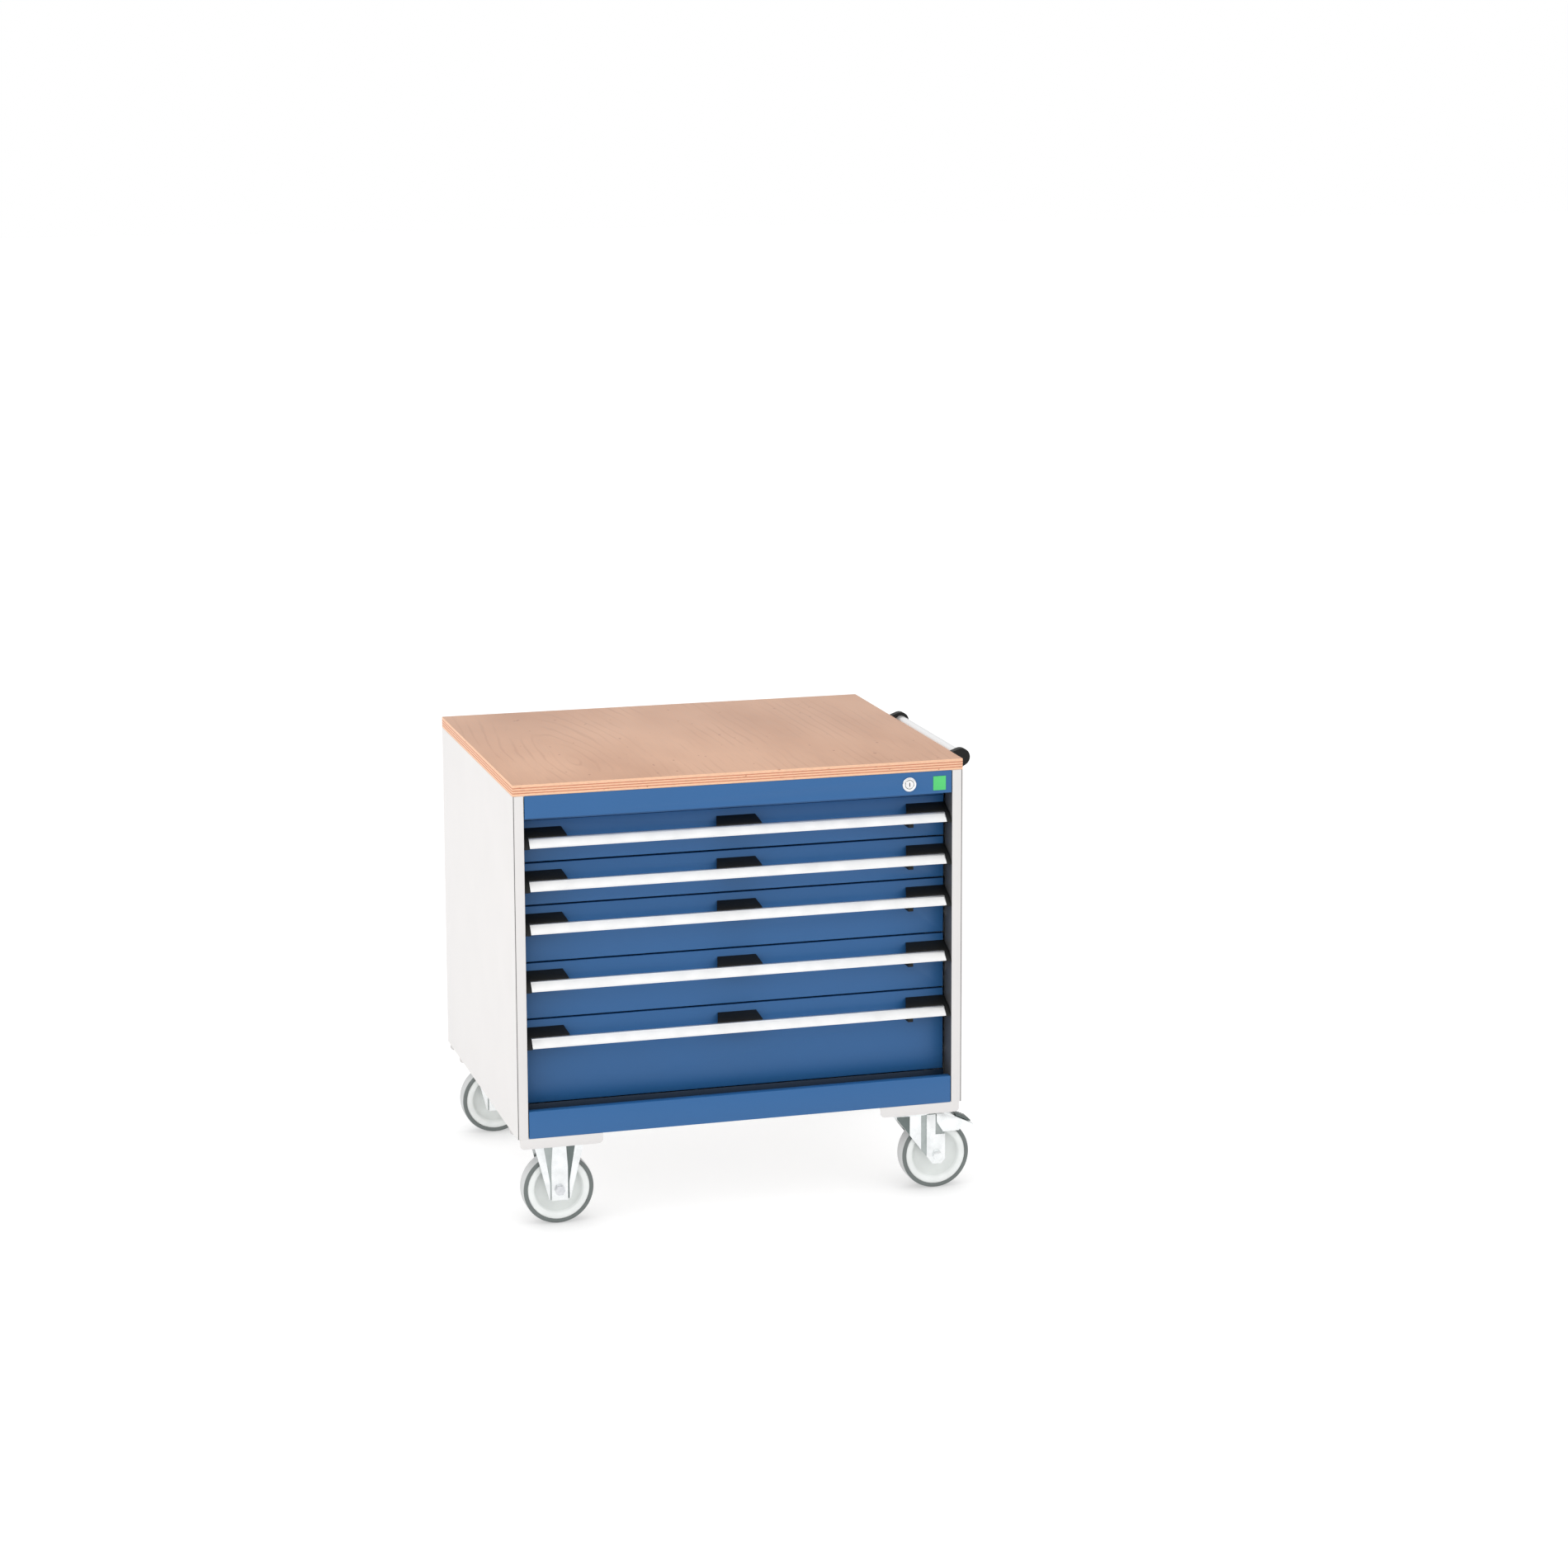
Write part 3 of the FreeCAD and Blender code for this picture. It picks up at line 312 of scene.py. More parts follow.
def brightZinc(name, colour, roughness, cloudScale, metallic=1.0):
    # passivated zinc: cloudy patches under fine rolling lines
    finish, nodes, links, shader = newFinish(name, colour, roughness, metallic)
    where = coordinates(nodes, links)
    clouds = noise(nodes, links, where, cloudScale, 4)
    clouded(nodes, links, shader, clouds, colour, *plating["cloudTints"])
    smoothest, roughest = plating["satin"]
    links.new(spread(nodes, links, clouds, roughness * smoothest, roughness * roughest),
              shader.inputs["Roughness"])
    rolled = coordinates(nodes, links, plating["lineStretch"])
    lines = noise(nodes, links, rolled, plating["lineScale"], 1)
    bump(nodes, links, shader, lines, plating["line"], plating["lineDepth"])
    return finish


extrusion = {
    "roughness": 0.3,
    "lineStretch": (0.02, 1, 1),
    "lineScale": 1800,
    "lineTints": ((0.25, 0.95), (0.75, 1.04)),
    "satin": (0.24, 0.36),
    "line": 0.06,
    "lineDepth": 0.0002,
}


def anodised(name, colour, metallic):
    # satin extrusion with fine draw lines along its length
    finish, nodes, links, shader = newFinish(name, colour, extrusion["roughness"], metallic)
    drawn = coordinates(nodes, links, extrusion["lineStretch"])
    lines = noise(nodes, links, drawn, extrusion["lineScale"], 2)
    clouded(nodes, links, shader, lines, colour, *extrusion["lineTints"])
    links.new(spread(nodes, links, lines, *extrusion["satin"]), shader.inputs["Roughness"])
    bump(nodes, links, shader, lines, extrusion["line"], extrusion["lineDepth"])
    return finish


moulded = {
    "cloudScale": 25,
    "cloudTints": ((0.3, 0.94), (0.7, 1.06)),
    "satin": (0.9, 1.12),
    "grainHeight": 0.0003,
}


def mouldedPlastic(name, colour, roughness, grainScale, grainDepth, specular=0.5):
    finish, nodes, links, shader = newFinish(name, colour, roughness)
    shader.inputs["Specular IOR Level"].default_value = specular
    where = coordinates(nodes, links)
    clouds = noise(nodes, links, where, moulded["cloudScale"], 3)
    clouded(nodes, links, shader, clouds, colour, *moulded["cloudTints"])
    smoothest, roughest = moulded["satin"]
    links.new(spread(nodes, links, clouds, roughness * smoothest, roughness * roughest),
              shader.inputs["Roughness"])
    grain = noise(nodes, links, where, grainScale, 2)
    bump(nodes, links, shader, grain, grainDepth, moulded["grainHeight"])
    return finish


veneer = {
    "pale": (0.595, 0.350, 0.232),
    "deep": (0.485, 0.265, 0.168),
    "line": (0.40, 0.215, 0.138),
    "fleck": (0.30, 0.15, 0.10),
    "roughness": 0.5,
    "broadStretch": (1, 0.35, 1),
    "broadScale": 6,
    "figureCentre": (0.285, 0.03, 0),
    "figureStretch": (1, 0.20, 1),
    "figureScale": 17,
    "figureBend": 5,
    "figureDetail": 1.1,
    "lineBand": (0.80, 1.0),
    "lineShade": 0.42,
    "patchStretch": (1, 0.5, 1),
    "patchScale": 11,
    "patchBand": (0.42, 0.66),
    "fibreStretch": (1, 0.035, 1),
    "fibreScale": 420,
    "fibreShade": 0.90,
    "fibreMix": 0.8,
    "fleckStretch": (1, 0.45, 1),
    "fleckScale": 95,
    "fleckBand": (0.755, 0.80),
    "fleckShade": 0.85,
    "satin": (0.42, 0.6),
    "pore": 0.12,
    "poreDepth": 0.0003,
}


def beechVeneer(name):
    finish, nodes, links, shader = newFinish(name, veneer["pale"], veneer["roughness"])
    # broad tone in soft clouds that are long in the depth of the top
    clouds = coordinates(nodes, links, veneer["broadStretch"])
    broad = noise(nodes, links, clouds, veneer["broadScale"], 3)
    tone = ramp(nodes, links, broad, [(0.25, veneer["deep"]), (0.62, veneer["pale"])])
    # arched figure round a centre on the left, straight grain further off
    arches = nodes.new("ShaderNodeTexWave")
    arches.wave_type = "RINGS"
    arches.rings_direction = "Z"
    arches.inputs["Scale"].default_value = veneer["figureScale"]
    arches.inputs["Distortion"].default_value = veneer["figureBend"]
    arches.inputs["Detail"].default_value = 3
    arches.inputs["Detail Scale"].default_value = veneer["figureDetail"]
    links.new(coordinates(nodes, links, veneer["figureStretch"], place=veneer["figureCentre"]),
              arches.inputs["Vector"])
    thin = spread(nodes, links, arches.outputs["Fac"], 0, veneer["lineShade"], *veneer["lineBand"])
    patchy = noise(nodes, links, coordinates(nodes, links, veneer["patchStretch"]),
                   veneer["patchScale"], 2)
    lineShade = nodes.new("ShaderNodeMath")
    lineShade.operation = "MULTIPLY"
    links.new(thin, lineShade.inputs[0])
    links.new(spread(nodes, links, patchy, 0, 1, *veneer["patchBand"]), lineShade.inputs[1])
    lineColour = ramp(nodes, links, broad,
                      [(0.0, veneer["line"]), (1.0, tint(veneer["line"], 1.1))])
    tone = blendColours(nodes, links, "MIX", lineShade.outputs[0], tone, lineColour)
    # fine fibres and pores, long in the depth of the top
    fibres = noise(nodes, links, coordinates(nodes, links, veneer["fibreStretch"]),
                   veneer["fibreScale"], 3, 0.6)
    fibreTone = ramp(nodes, links, fibres, [(0.3, (veneer["fibreShade"],) * 3), (0.7, (1, 1, 1))])
    tone = blendColours(nodes, links, "MULTIPLY", veneer["fibreMix"], tone, fibreTone)
    # scattered small dark flecks
    flecks = noise(nodes, links, coordinates(nodes, links, veneer["fleckStretch"]),
                   veneer["fleckScale"], 1)
    fleckShade = spread(nodes, links, flecks, 0, veneer["fleckShade"], *veneer["fleckBand"])
    fleckColour = ramp(nodes, links, fibres,
                       [(0.0, veneer["fleck"]), (1.0, tint(veneer["fleck"], 1.3))])
    tone = blendColours(nodes, links, "MIX", fleckShade, tone, fleckColour)
    links.new(tone, shader.inputs["Base Color"])
    links.new(spread(nodes, links, fibres, *veneer["satin"]), shader.inputs["Roughness"])
    bump(nodes, links, shader, fibres, veneer["pore"], veneer["poreDepth"])
    return finish


plies = {
    "roughness": 0.6,
    "grainStretch": (1, 1, 6),
    "grainScale": 130,
    "light": 1.08,
    "pit": (0.45, 0.25, 0.18),
    "pitStretch": (1, 1, 3),
    "pitScale": 60,
    "pitMix": 0.8,
    "satin": (0.5, 0.75),
    "grain": 0.2,
    "grainDepth": 0.0004,
}


def plyEdge(name, colour, streak):
    # short end-grain streaks along each ply, and a few small pits
    finish, nodes, links, shader = newFinish(name, colour, plies["roughness"])
    grain = noise(nodes, links, coordinates(nodes, links, plies["grainStretch"]),
                  plies["grainScale"], 4, 0.65)
    tone = ramp(nodes, links, grain,
                [(0.36, tint(colour, streak)), (0.5, colour), (0.72, tint(colour, plies["light"]))])
    pits = noise(nodes, links, coordinates(nodes, links, plies["pitStretch"]), plies["pitScale"], 2)
    pitTone = ramp(nodes, links, pits, [(0.24, plies["pit"]), (0.29, (1, 1, 1))])
    links.new(blendColours(nodes, links, "MULTIPLY", plies["pitMix"], tone, pitTone),
              shader.inputs["Base Color"])
    links.new(spread(nodes, links, grain, *plies["satin"]), shader.inputs["Roughness"])
    bump(nodes, links, shader, grain, plies["grain"], plies["grainDepth"])
    return finish


finishes = {
    "grey_paint": powderCoat("greyPaint", (0.765, 0.745, 0.735)),
    "blue_paint": powderCoat("bluePaint", (0.0195, 0.120, 0.322)),
    "zinc": brightZinc("brightZinc", (0.90, 0.92, 0.92), 0.26, 45),
    "fixings": brightZinc("fixings", (0.72, 0.73, 0.75), 0.3, 160),
    "lock_chrome": brightZinc("lockNickel", (0.86, 0.86, 0.87), 0.2, 200),
    "aluminium": anodised("anodised", (0.86, 0.865, 0.87), 0.75),
    "black_plastic": mouldedPlastic("blackPlastic", (0.013, 0.0135, 0.013), 0.5, 1100,
                                    0.18, 0.2),
    "wheel_nylon": mouldedPlastic("wheelNylon", (0.86, 0.885, 0.87), 0.32, 700, 0.06),
    "grey_rubber": mouldedPlastic("greyRubber", (0.17, 0.19, 0.185), 0.62, 900, 0.2, 0.3),
    "plywood": beechVeneer("beechVeneer"),
}
treadFinish = mouldedPlastic("treadRubber", (0.60, 0.61, 0.61), 0.6, 900, 0.2, 0.3)
# dark zinc: painted shade on the fork webs and in the lock's groove ring; the pedal treads use it
# too
darkZincAndPaintedShade = brightZinc("darkZincWithPaintedShade", (0.16, 0.19, 0.185), 0.34, 60, 0.85)
plateFinish = mouldedPlastic("stripInsert", (0.93, 0.93, 0.925), 0.3, 600, 0.04)
badgeFinish = mouldedPlastic("greenBadge", (0.085, 0.62, 0.175), 0.35, 800, 0.05)
# painted shade: black for the shutter that fills the keyway
keywayPaintedShade = mouldedPlastic("keywayPaintedShadeBlack", (0.012, 0.012, 0.014), 0.6, 1200, 0.1, 0.2)
# painted shade: a darker copy of the blue paint for the wall in the trough behind the plinth
troughPaintedShade = powderCoat("troughBluePaintedShade", (0.006, 0.026, 0.062))
# painted shade: darker greys for the band on the corner bend of the side panels and for the inner
# return of the posts
seamPaintedShade = powderCoat("cornerBendPaintedShade", (0.20, 0.195, 0.19))
returnPaintedShade = powderCoat("postReturnPaintedShade", (0.10, 0.10, 0.102))
# painted shade: mid-grey zinc for the fork webs on the other side, lighter than the dark webs
greyWebPaintedShade = brightZinc("greyZincPaintedShade", (0.42, 0.46, 0.45), 0.34, 60, 0.85)
# painted shade: a darker copy of the wheel nylon for the dished disc inside the rim
discNylonPaintedShade = mouldedPlastic("wheelDiscPaintedShade", (0.79, 0.82, 0.80), 0.32, 700, 0.06)
for entry in frame["record"]["subparts"]:
    if entry["material_slot"] in finishes:
        paint(frame["nodes"][entry["node"]], finishes[entry["material_slot"]])
print("finishes ready:", len(finishes))


def bodyOf(node):
    bodies = frame["record"]["behaviour"]["bodies"]
    return next(body for body, nodes in bodies.items() if node in nodes)


def slotOf(node):
    return next(entry["material_slot"] for entry in frame["record"]["subparts"]
                if entry["node"] == node)


# folded sheet, mouldings and pressings get a small radius on every edge
softEdges = {
    "sheet": 0.0008,
    "moulding": 0.0009,
    "pressing": 0.0006,
    "extrusion": 0.0004,
}


def softened(node, width, extra=()):
    piece = mergedCopy(node, node + "_soft")
    roundEdges(piece, width)
    paint(piece, finishes[slotOf(node)], *extra)
    return finishPiece(piece, bodyOf(node), slotOf(node), node)


for node in ("top_fascia", "bottom_fascia", "castor_brackets"):
    softened(node, softEdges["sheet"])
for number in drawers:
    softened(f"drawer_{number}_front", softEdges["pressing"])
    softened(f"drawer_{number}_handle", softEdges["extrusion"])
    softened(f"drawer_{number}_brackets", softEdges["moulding"])


postReturn = {
    "round": 0.0003,
    "seamFrom": 0.001,
    "seamTo": 0.0030,
    "seamDeep": (0.0002, 0.0012),
    "deep": 0.041,
    "wide": 0.024,
    "facing": 0.8,
}


def makePanel(node, side):
    # painted shade: a thin band on the bend by the outer corner is painted darker grey, and the
    # inner return of the post near-black grey, standing in for the shade there
    low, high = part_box(node)
    outer = high[0] if side > 0 else low[0]
    front = low[1]
    panel = softened(node, postReturn["round"], (seamPaintedShade, returnPaintedShade))
    shallow, deep = postReturn["seamDeep"]
    assignFaces(panel, 1, lambda place, normal: front + shallow < place.y < front + deep
                and postReturn["seamFrom"] < abs(place.x - outer) < postReturn["seamTo"])
    assignFaces(panel, 2, lambda place, normal: normal.x * side < -postReturn["facing"]
                and front < place.y < front + postReturn["deep"]
                and abs(place.x - outer) < postReturn["wide"])


makePanel("left_side_panel", -1)
makePanel("right_side_panel", 1)
print("softened sheet, handles and mouldings")


folded = {
    "thick": 0.0012,
    "edge": 0.0004,
}
topStop = {
    "gap": 0.0006,
    "lap": 0.0080,
    "lip": 0.006,
}
trough = {
    "gap": 0.0016,
    "foot": 0.0400,
}


def foldedStrip(name, node, ends, front, bottom, top, lip, finish):
    # an upright strip between two ends, with a lip at its foot
    left, right = ends
    place = ((left + right) / 2, front + folded["thick"] / 2, (bottom + top) / 2)
    strip = block(name, place, (right - left, folded["thick"], top - bottom))
    selectFaces(strip, lambda centre, normal: normal.z < -meshCare["facing"])
    bpy.ops.mesh.extrude_region_move(TRANSFORM_OT_translate={"value": (0, lip, 0)})
    leaveEdit()
    roundEdges(strip, folded["edge"])
    paint(strip, finish)
    finishPiece(strip, bodyOf(node), "blue_paint")


def makeTopStop():
    # closes the gap above the first drawer, under the top fascia
    lowFront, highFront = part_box("drawer_1_front")
    lowFascia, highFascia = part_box("top_fascia")
    foldedStrip("top_stop_strip", "top_fascia", (lowFront[0], highFront[0]), lowFront[1],
                highFront[2] + topStop["gap"], lowFascia[2] + topStop["lap"], topStop["lip"],
                finishes["blue_paint"])


def makeTrough():
    # the wall behind the plinth, just under the lowest drawer's front, in a darker blue that is
    # painted shade of the trough
    lowFront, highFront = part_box("drawer_5_front")
    lowPlinth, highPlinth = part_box("bottom_fascia")
    foldedStrip("plinth_trough_wall", "bottom_fascia", (lowPlinth[0], highPlinth[0]), lowFront[1],
                highPlinth[2] - trough["foot"], lowFront[2] - trough["gap"],
                highPlinth[1] - lowFront[1], troughPaintedShade)


makeTopStop()
makeTrough()
print("strips above and below the drawers ready")


worktop = {
    "topEdge": 0.0012,
    "edgeDegrees": 60,
    "upright": 0.3,
    "topFacing": 0.6,
    "glueLines": [0.30, 0.52, 0.74],
    "glueHeight": 0.0018,
    "glueDepth": 0.00015,
    "light": (0.90, 0.55, 0.36),
    "dark": (0.62, 0.235, 0.135),
}


def makeWorktop():
    low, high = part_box("worktop")
    size = Vector(high) - Vector(low)
    top = block("worktop_board", centreOf((low, high)), size)
    roundEdges(top, worktop["topEdge"], degrees=worktop["edgeDegrees"])
    half = worktop["glueHeight"] / 2
    heights = [high[2] - share * (high[2] - low[2]) for share in worktop["glueLines"]]
    for height in heights:
        for edge in (-half, half):
            cutAcross(top, (0, 0, height + edge), (0, 0, 1))

    def onGlue(centre):
        return any(abs(height - centre.z) < half for height in heights)

    selectFaces(top, lambda centre, normal: abs(normal.z) < worktop["upright"]
                and onGlue(centre))
    bpy.ops.mesh.inset(thickness=worktop["glueDepth"], depth=-worktop["glueDepth"],
                       use_boundary=True)
    leaveEdit()
    paint(top, finishes["plywood"], plyEdge("plyLight", worktop["light"], 0.90),
          plyEdge("plyDark", worktop["dark"], 0.85))
    assignFaces(top, 1, lambda centre, normal: normal.z < worktop["topFacing"])
    assignFaces(top, 2, lambda centre, normal: abs(normal.z) < meshCare["facing"]
                and onGlue(centre))
    finishPiece(top, bodyOf("worktop"), "plywood", "worktop")


makeWorktop()
print("worktop ready")


# metres from the axle: radius, then distance along the axle
wheelShape = {
    "core": [(0.00505, 0.0178), (0.0120, 0.0178), (0.0130, 0.0168), (0.0150, 0.0100),
             (0.0200, 0.0080), (0.0300, 0.0072), (0.0375, 0.0078), (0.0415, 0.0112),
             (0.0430, 0.0148), (0.0445, 0.0160), (0.0530, 0.0160), (0.0545, 0.0152)],
    "tyreSide": [(0.0547, 0.0166), (0.0580, 0.0169), (0.0600, 0.0164), (0.0616, 0.0148),
                 (0.0624, 0.0125), (0.0625, 0.0100)],
    "sideEdge": 0.0145,
    "treadFrom": 0.058,
    "discEdge": 0.0420,
    "coreDegrees": 40,
    "tyreDegrees": 50,
}


def bothSides(half):
    return half + [(radius, -along) for radius, along in reversed(half)]


def makeWheel(corner):
    core = corner + "_wheel_core"
    centre = centreOf(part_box(core))
    rim = turnedRing(corner + "_wheel_disc", bothSides(wheelShape["core"]), centre)
    paint(smooth(rim, wheelShape["coreDegrees"]), finishes["wheel_nylon"], discNylonPaintedShade)
    # painted shade: the dished disc inside the rim gets the darker nylon
    assignFaces(rim, 1, lambda place, normal: math.hypot(place.x - centre.x, place.z - centre.z)
                < wheelShape["discEdge"])
    finishPiece(rim, bodyOf(core), "wheel_nylon", core)
    tyre = turnedRing(corner + "_tyre_ring", bothSides(wheelShape["tyreSide"]), centre)
    paint(smooth(tyre, wheelShape["tyreDegrees"]), finishes["grey_rubber"], treadFinish)
    assignFaces(tyre, 1, lambda place, normal: abs(place.y - centre.y) < wheelShape["sideEdge"]
                and (place - centre).length > wheelShape["treadFrom"])
    finishPiece(tyre, bodyOf(corner + "_tyre"), "grey_rubber", corner + "_tyre")


for corner in corners:
    makeWheel(corner)
print("wheels ready")


fork = {
    "round": 0.0004,
    "webOut": 0.0225,
    "ribOut": 0.0255,
    "spare": 0.0004,
    "bandEdge": -0.029,
    "gussetEdge": -0.046,
    "facing": 0.8,
}


def onFork(place, normal, wheel, out):
    # on a face across the axle, at this distance out from the wheel's middle
    return (abs(normal.y) > fork["facing"]
            and abs(abs(place.y - wheel.y) - out) < fork["spare"])


def fixedForks():
    # painted shade: the flat webs between the ribs are a little more matt, and painted dark zinc on
    # one side of the wheel and mid-grey zinc on the other, darker than the ribs' bright faces
    wheels = [centreOf(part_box(corner + "_wheel_core")) for corner in corners[:2]]
    piece = softened("fixed_castor_forks", fork["round"], (darkZincAndPaintedShade, greyWebPaintedShade))

    def onWeb(place, normal):
        return any(onFork(place, normal, wheel, fork["webOut"]) for wheel in wheels)

    assignFaces(piece, 1, lambda place, normal: onWeb(place, normal) and place.x > wheels[0].x)
    assignFaces(piece, 2, lambda place, normal: onWeb(place, normal) and place.x < wheels[0].x)


def swivelFork(corner):
    wheel = centreOf(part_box(corner + "_wheel_core"))
    piece = softened(corner + "_swivel_fork", fork["round"], (darkZincAndPaintedShade, greyWebPaintedShade))
    # painted shade: the swivel fork's webs get the grey or the dark zinc by where they stand along
    # the fork
    cutAcross(piece, (wheel.x + fork["bandEdge"], 0, 0), (1, 0, 0))
    assignFaces(piece, 2, lambda place, normal: onFork(place, normal, wheel, fork["webOut"])
                and place.x > wheel.x + fork["bandEdge"])
    assignFaces(piece, 1, lambda place, normal: onFork(place, normal, wheel, fork["ribOut"])
                and place.x < wheel.x + fork["gussetEdge"])


tread = {
    "long": 0.030,
    "wide": 0.034,
    "thick": 0.0022,
    "slope": math.radians(-25.3),
    "tipHeight": 0.1144,
    "fromTip": (0.0165, 0.0100),
    "ridges": 6,
    "ridgeHeight": 0.0010,
    "edge": 0.0003,
}


def pedalTread(corner):
    # ribbed dark pad on the sloping end of the pedal
    low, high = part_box(corner + "_brake_pedal")
    back, up = tread["fromTip"]
    place = (high[0] - back, (low[1] + high[1]) / 2, tread["tipHeight"] + up)
    pad = block(corner + "_pedal_tread", (0, 0, 0),
                (tread["long"], tread["wide"], tread["thick"]))
    step = tread["long"] / tread["ridges"] / 2
    for number in range(1, 2 * tread["ridges"]):
        cutAcross(pad, (number * step - tread["long"] / 2, 0, 0), (1, 0, 0))
    selectFaces(pad, lambda centre, normal: normal.z > meshCare["facing"]
                and int((centre.x + tread["long"] / 2) / step) % 2 == 0)
    bpy.ops.mesh.extrude_region_move(TRANSFORM_OT_translate={"value": (0, 0, tread["ridgeHeight"])})
    leaveEdit()
    pad.rotation_euler = (0, -tread["slope"], 0)
    pad.location = place
    settle(pad)
    roundEdges(pad, tread["edge"])
    paint(pad, darkZincAndPaintedShade)
    finishPiece(pad, bodyOf(corner + "_brake_pedal"), "zinc")


fixedForks()
for corner in corners[2:]:
    swivelFork(corner)
    softened(corner + "_brake_pedal", fork["round"])
    pedalTread(corner)
print("castors ready")


insert = {
    "upperMargin": 0.0030,
    "lowerMargin": 0.0010,
    "thick": 0.0005,
    "round": 0.0002,
    "slope": (0.0120, 0.0133),
    "endGap": 0.0015,
}


def makeInsert(number):
    # satin insert pressed on the sloping face of the handle, short of its upper and lower edges
    low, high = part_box(f"drawer_{number}_handle")
    drop, rise = insert["slope"]
    length = math.hypot(drop, rise)
    start = insert["upperMargin"]
    end = length - insert["lowerMargin"]
    middle = (start + end) / 2
    crestY = low[1] + drop
    crestZ = high[2]
    away = insert["thick"] / 2
    place = ((low[0] + high[0]) / 2, crestY - drop * middle / length - rise / length * away,
             crestZ - rise * middle / length + drop / length * away)
    size = (high[0] - low[0] - 2 * insert["endGap"], end - start, insert["thick"])
    plate = block(f"drawer_{number}_strip_insert", place, size, (math.atan2(rise, drop), 0, 0))
    roundEdges(plate, insert["round"])
    paint(plate, plateFinish)
    finishPiece(plate, bodyOf(f"drawer_{number}_handle"), "aluminium")


for number in drawers:
    makeInsert(number)
print("handle inserts ready")


# metres from the lock's axis, then back from its face
lockShape = {
    "outline": [(0.00605, 0.0), (0.0070, 0.0), (0.0074, 0.0005), (0.0082, 0.0005),
                (0.0086, 0.0001), (0.0112, 0.0), (0.0120, 0.0003), (0.0125, 0.0010),
                (0.0125, 0.0020), (0.0100, 0.0020), (0.0100, 0.0470), (0.00605, 0.0470)],
    "steps": 72,
    "smoothDegrees": 35,
    "ring": (0.0074, 0.0082),
    "ringDeep": 0.0006,
    "slot": (0.0015, 0.0009, 0.0066),
    "slotBack": 0.0002,
    "slotEdge": 0.0002,
}


def makeLock():
    low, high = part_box("lock_housing")
    centre = Vector(((low[0] + high[0]) / 2, low[1], (low[2] + high[2]) / 2))
    face = turnedRing("lock_face", lockShape["outline"], centre, lockShape["steps"])
    paint(smooth(face, lockShape["smoothDegrees"]), finishes["lock_chrome"], darkZincAndPaintedShade)
    # painted shade: the groove ring round the plug is painted dark zinc
    inner, outer = lockShape["ring"]
    assignFaces(face, 1, lambda place, normal: place.y < centre.y + lockShape["ringDeep"]
                and inner < math.hypot(place.x - centre.x, place.z - centre.z) < outer)
    finishPiece(face, bodyOf("lock_housing"), "lock_chrome", "lock_housing")
    # painted shade: a black shutter just behind the face fills the keyway, standing in for its
    # shade
    where = centre + Vector((0, lockShape["slotBack"] + lockShape["slot"][1] / 2, 0))
    shutter = block("lock_key_shutter", where, lockShape["slot"])
    roundEdges(shutter, lockShape["slotEdge"])
    paint(shutter, keywayPaintedShade)
    finishPiece(shutter, bodyOf("lock_cylinder"), None)


makeLock()


badge = {
    "wide": 0.023,
    "tall": 0.025,
    "thick": 0.0010,
    "fromEnd": 0.011,
    "fromTop": 0.009,
    "rim": 0.0008,
    "rimHeight": 0.0003,
    "edge": 0.0002,
}


def makeBadge():
    # plain plate with a raised rim and nothing on it
    low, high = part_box("top_fascia")
    place = (high[0] - badge["fromEnd"] - badge["wide"] / 2, low[1] - badge["thick"] / 2,
             high[2] - badge["fromTop"] - badge["tall"] / 2)
    plate = block("fascia_badge", place, (badge["wide"], badge["thick"], badge["tall"]))
    selectFaces(plate, lambda centre, normal: normal.y < -meshCare["facing"])
    bpy.ops.mesh.inset(thickness=badge["rim"], depth=-badge["rimHeight"])
    leaveEdit()
    roundEdges(plate, badge["edge"])
    paint(plate, badgeFinish)
    finishPiece(plate, bodyOf("top_fascia"), None)


makeBadge()
print("lock and badge ready")


cameraView = {
    "place": (-1.6237, -6.2915, 2.0532),
    "pitchDown": 0.1633,
    "turn": -0.2946,
    "lens": 84.29,
    "sensor": 36,
    "shiftSide": -0.05,
    "shiftUp": -0.10,
}


def addCamera():
    turned = (math.pi / 2 - cameraView["pitchDown"], 0, cameraView["turn"])
    bpy.ops.object.camera_add(location=cameraView["place"], rotation=turned)
    camera = bpy.context.object
    camera.name = "camera"
    camera.data.lens = cameraView["lens"]
    camera.data.sensor_width = cameraView["sensor"]
    camera.data.shift_x = cameraView["shiftSide"]
    camera.data.shift_y = cameraView["shiftUp"]
    camera.data.dof.use_dof = False
    bpy.context.scene.camera = camera


studio = {
    "lowLight": 0.60,
    "highLight": 1.22,
    "highFrom": 0.7,
    "aim": (0, 0, 0.4),
    "floorSize": 60,
    "floorColour": (0.46, 0.46, 0.46),
    "floorRoughness": 0.9,
    "floorGlow": 0.60,
    "contactReach": 0.11,
    "contactShade": 0.62,
    "contactBand": (0.45, 0.95),
}
softBoxes = [
    {"name": "keyBox", "place": (-4.6, -1.6, 4.2), "size": 3.0, "power": 46},
    {"name": "fillBox", "place": (2.8, -4.5, 3.4), "size": 2.6, "power": 10},
]


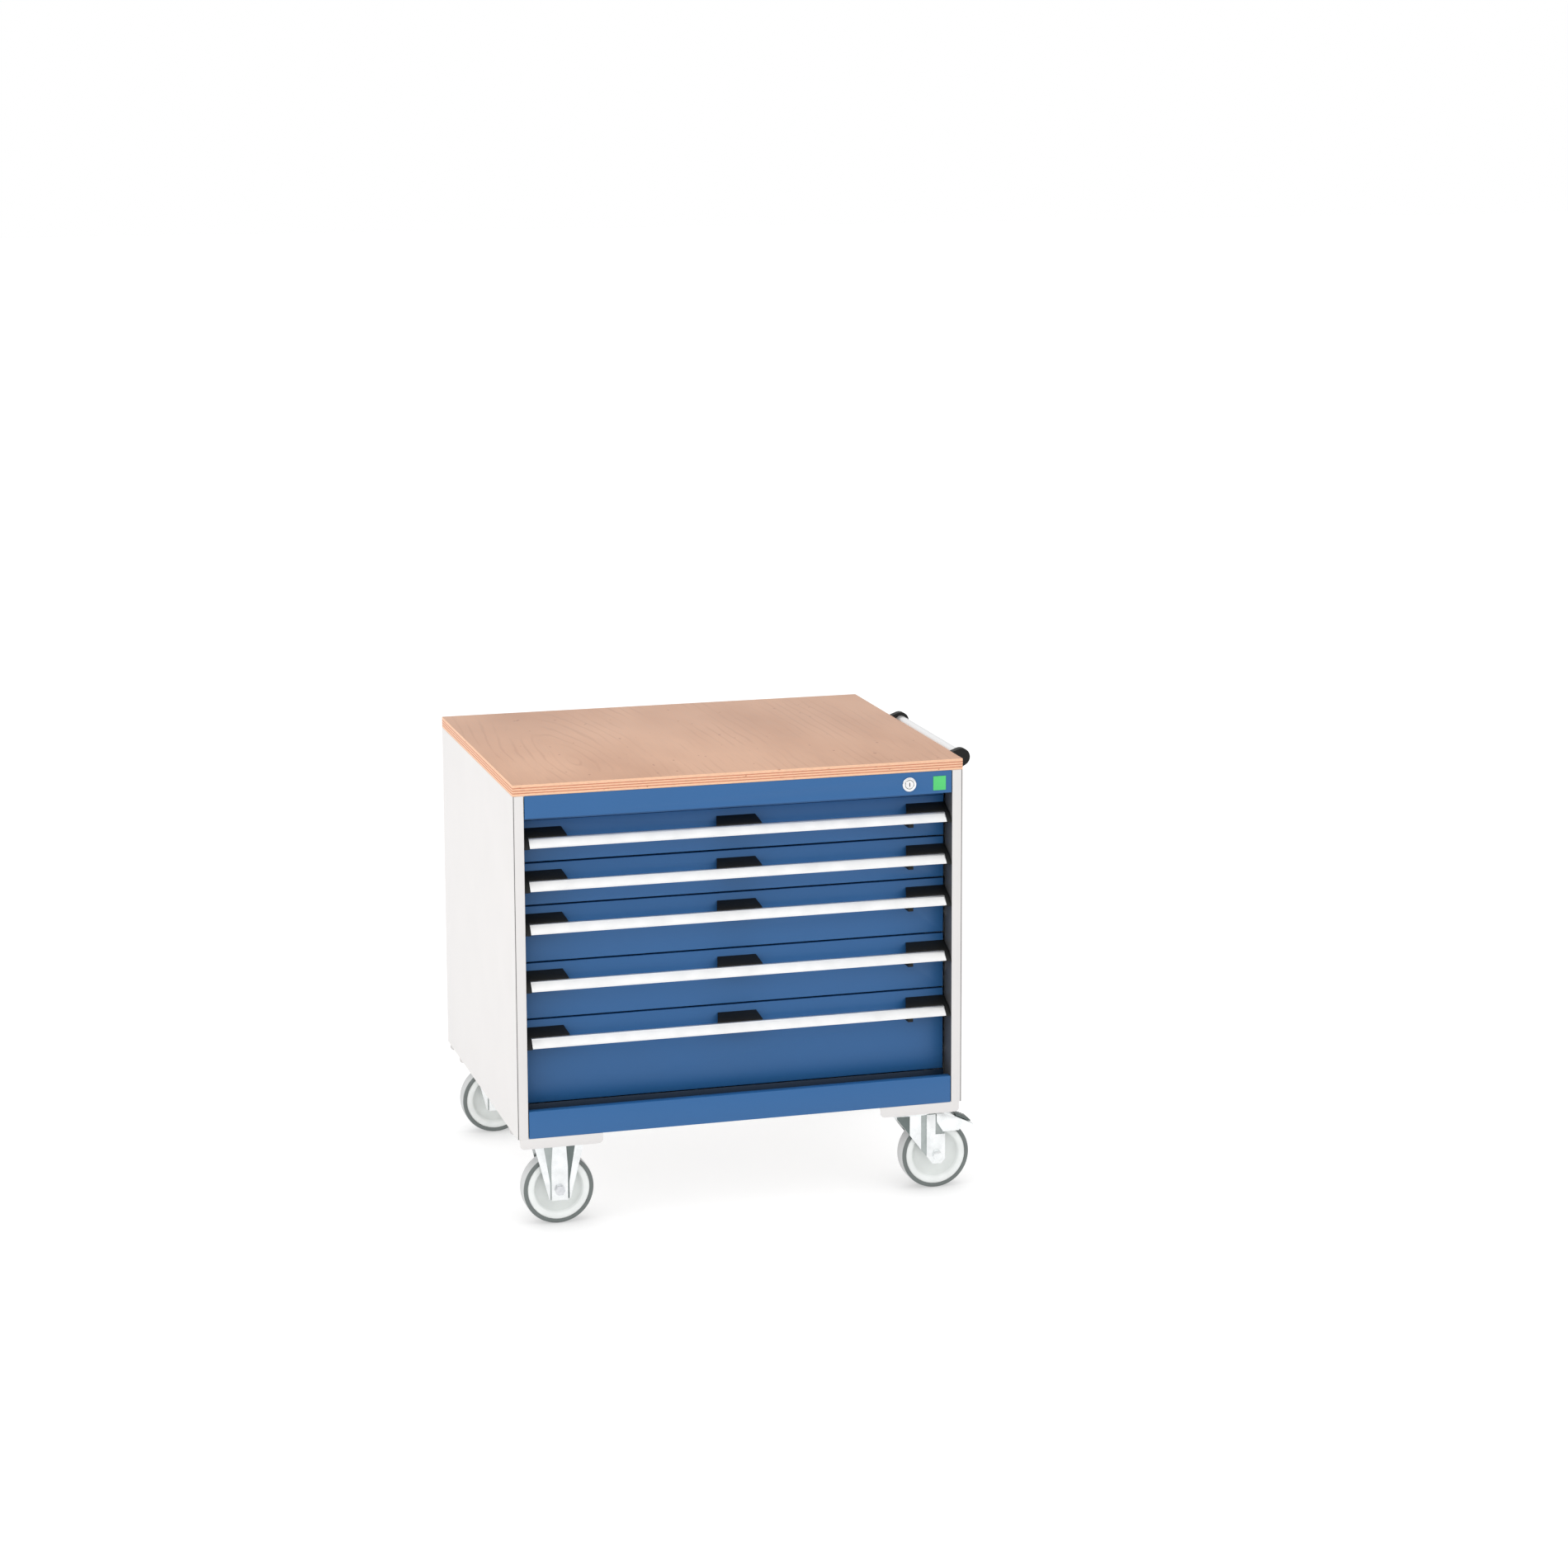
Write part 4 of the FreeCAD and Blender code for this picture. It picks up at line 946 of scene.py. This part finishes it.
def addLight():
    # a white room, brighter overhead; the backdrop itself is plain white
    bpy.ops.world.new()
    world = bpy.data.worlds[-1]
    bpy.context.scene.world = world
    world.use_nodes = True
    nodes = world.node_tree.nodes
    links = world.node_tree.links
    room = nodes["Background"]
    room.inputs["Color"].default_value = (1, 1, 1, 1)
    direction = nodes.new("ShaderNodeTexCoord")
    parts = nodes.new("ShaderNodeSeparateXYZ")
    links.new(direction.outputs["Generated"], parts.inputs["Vector"])
    links.new(spread(nodes, links, parts.outputs["Z"], studio["lowLight"], studio["highLight"],
                     0.0, studio["highFrom"]), room.inputs["Strength"])
    backdrop = nodes.new("ShaderNodeBackground")
    backdrop.inputs["Color"].default_value = (1, 1, 1, 1)
    backdrop.inputs["Strength"].default_value = 1.0
    path = nodes.new("ShaderNodeLightPath")
    mix = nodes.new("ShaderNodeMixShader")
    links.new(path.outputs["Is Camera Ray"], mix.inputs["Fac"])
    links.new(room.outputs["Background"], mix.inputs[1])
    links.new(backdrop.outputs["Background"], mix.inputs[2])
    links.new(mix.outputs["Shader"], nodes["World Output"].inputs["Surface"])
    target = Vector(studio["aim"])
    for box in softBoxes:
        bpy.ops.object.light_add(type="AREA", location=box["place"])
        lamp = bpy.context.object
        lamp.name = box["name"]
        lamp.data.shape = "DISK"
        lamp.data.size = box["size"]
        lamp.data.energy = box["power"]
        lamp.rotation_euler = (target - lamp.location).to_track_quat("-Z", "Y").to_euler()


def addFloor():
    bpy.ops.object.select_all(action="DESELECT")
    bpy.ops.mesh.primitive_plane_add(size=studio["floorSize"], location=(0, 0, 0))
    floor = named(bpy.context.object, "studioFloor")
    finish, nodes, links, shader = newFinish("paleFloor", studio["floorColour"],
                                             studio["floorRoughness"])
    shader.inputs["Specular IOR Level"].default_value = 0.0
    # painted contact shadow: the glow fades close under whatever stands on the floor
    contact = nodes.new("ShaderNodeAmbientOcclusion")
    contact.samples = 8
    contact.inputs["Distance"].default_value = studio["contactReach"]
    shade = spread(nodes, links, contact.outputs["AO"], studio["contactShade"], 1.0,
                   *studio["contactBand"])
    glow = nodes.new("ShaderNodeMath")
    glow.operation = "MULTIPLY"
    glow.inputs[1].default_value = studio["floorGlow"]
    links.new(shade, glow.inputs[0])
    shader.inputs["Emission Color"].default_value = (1, 1, 1, 1)
    links.new(glow.outputs[0], shader.inputs["Emission Strength"])
    paint(floor, finish)


addCamera()
addLight()
addFloor()
bpy.context.scene.view_settings.view_transform = "Standard"
print("camera, light and floor ready")
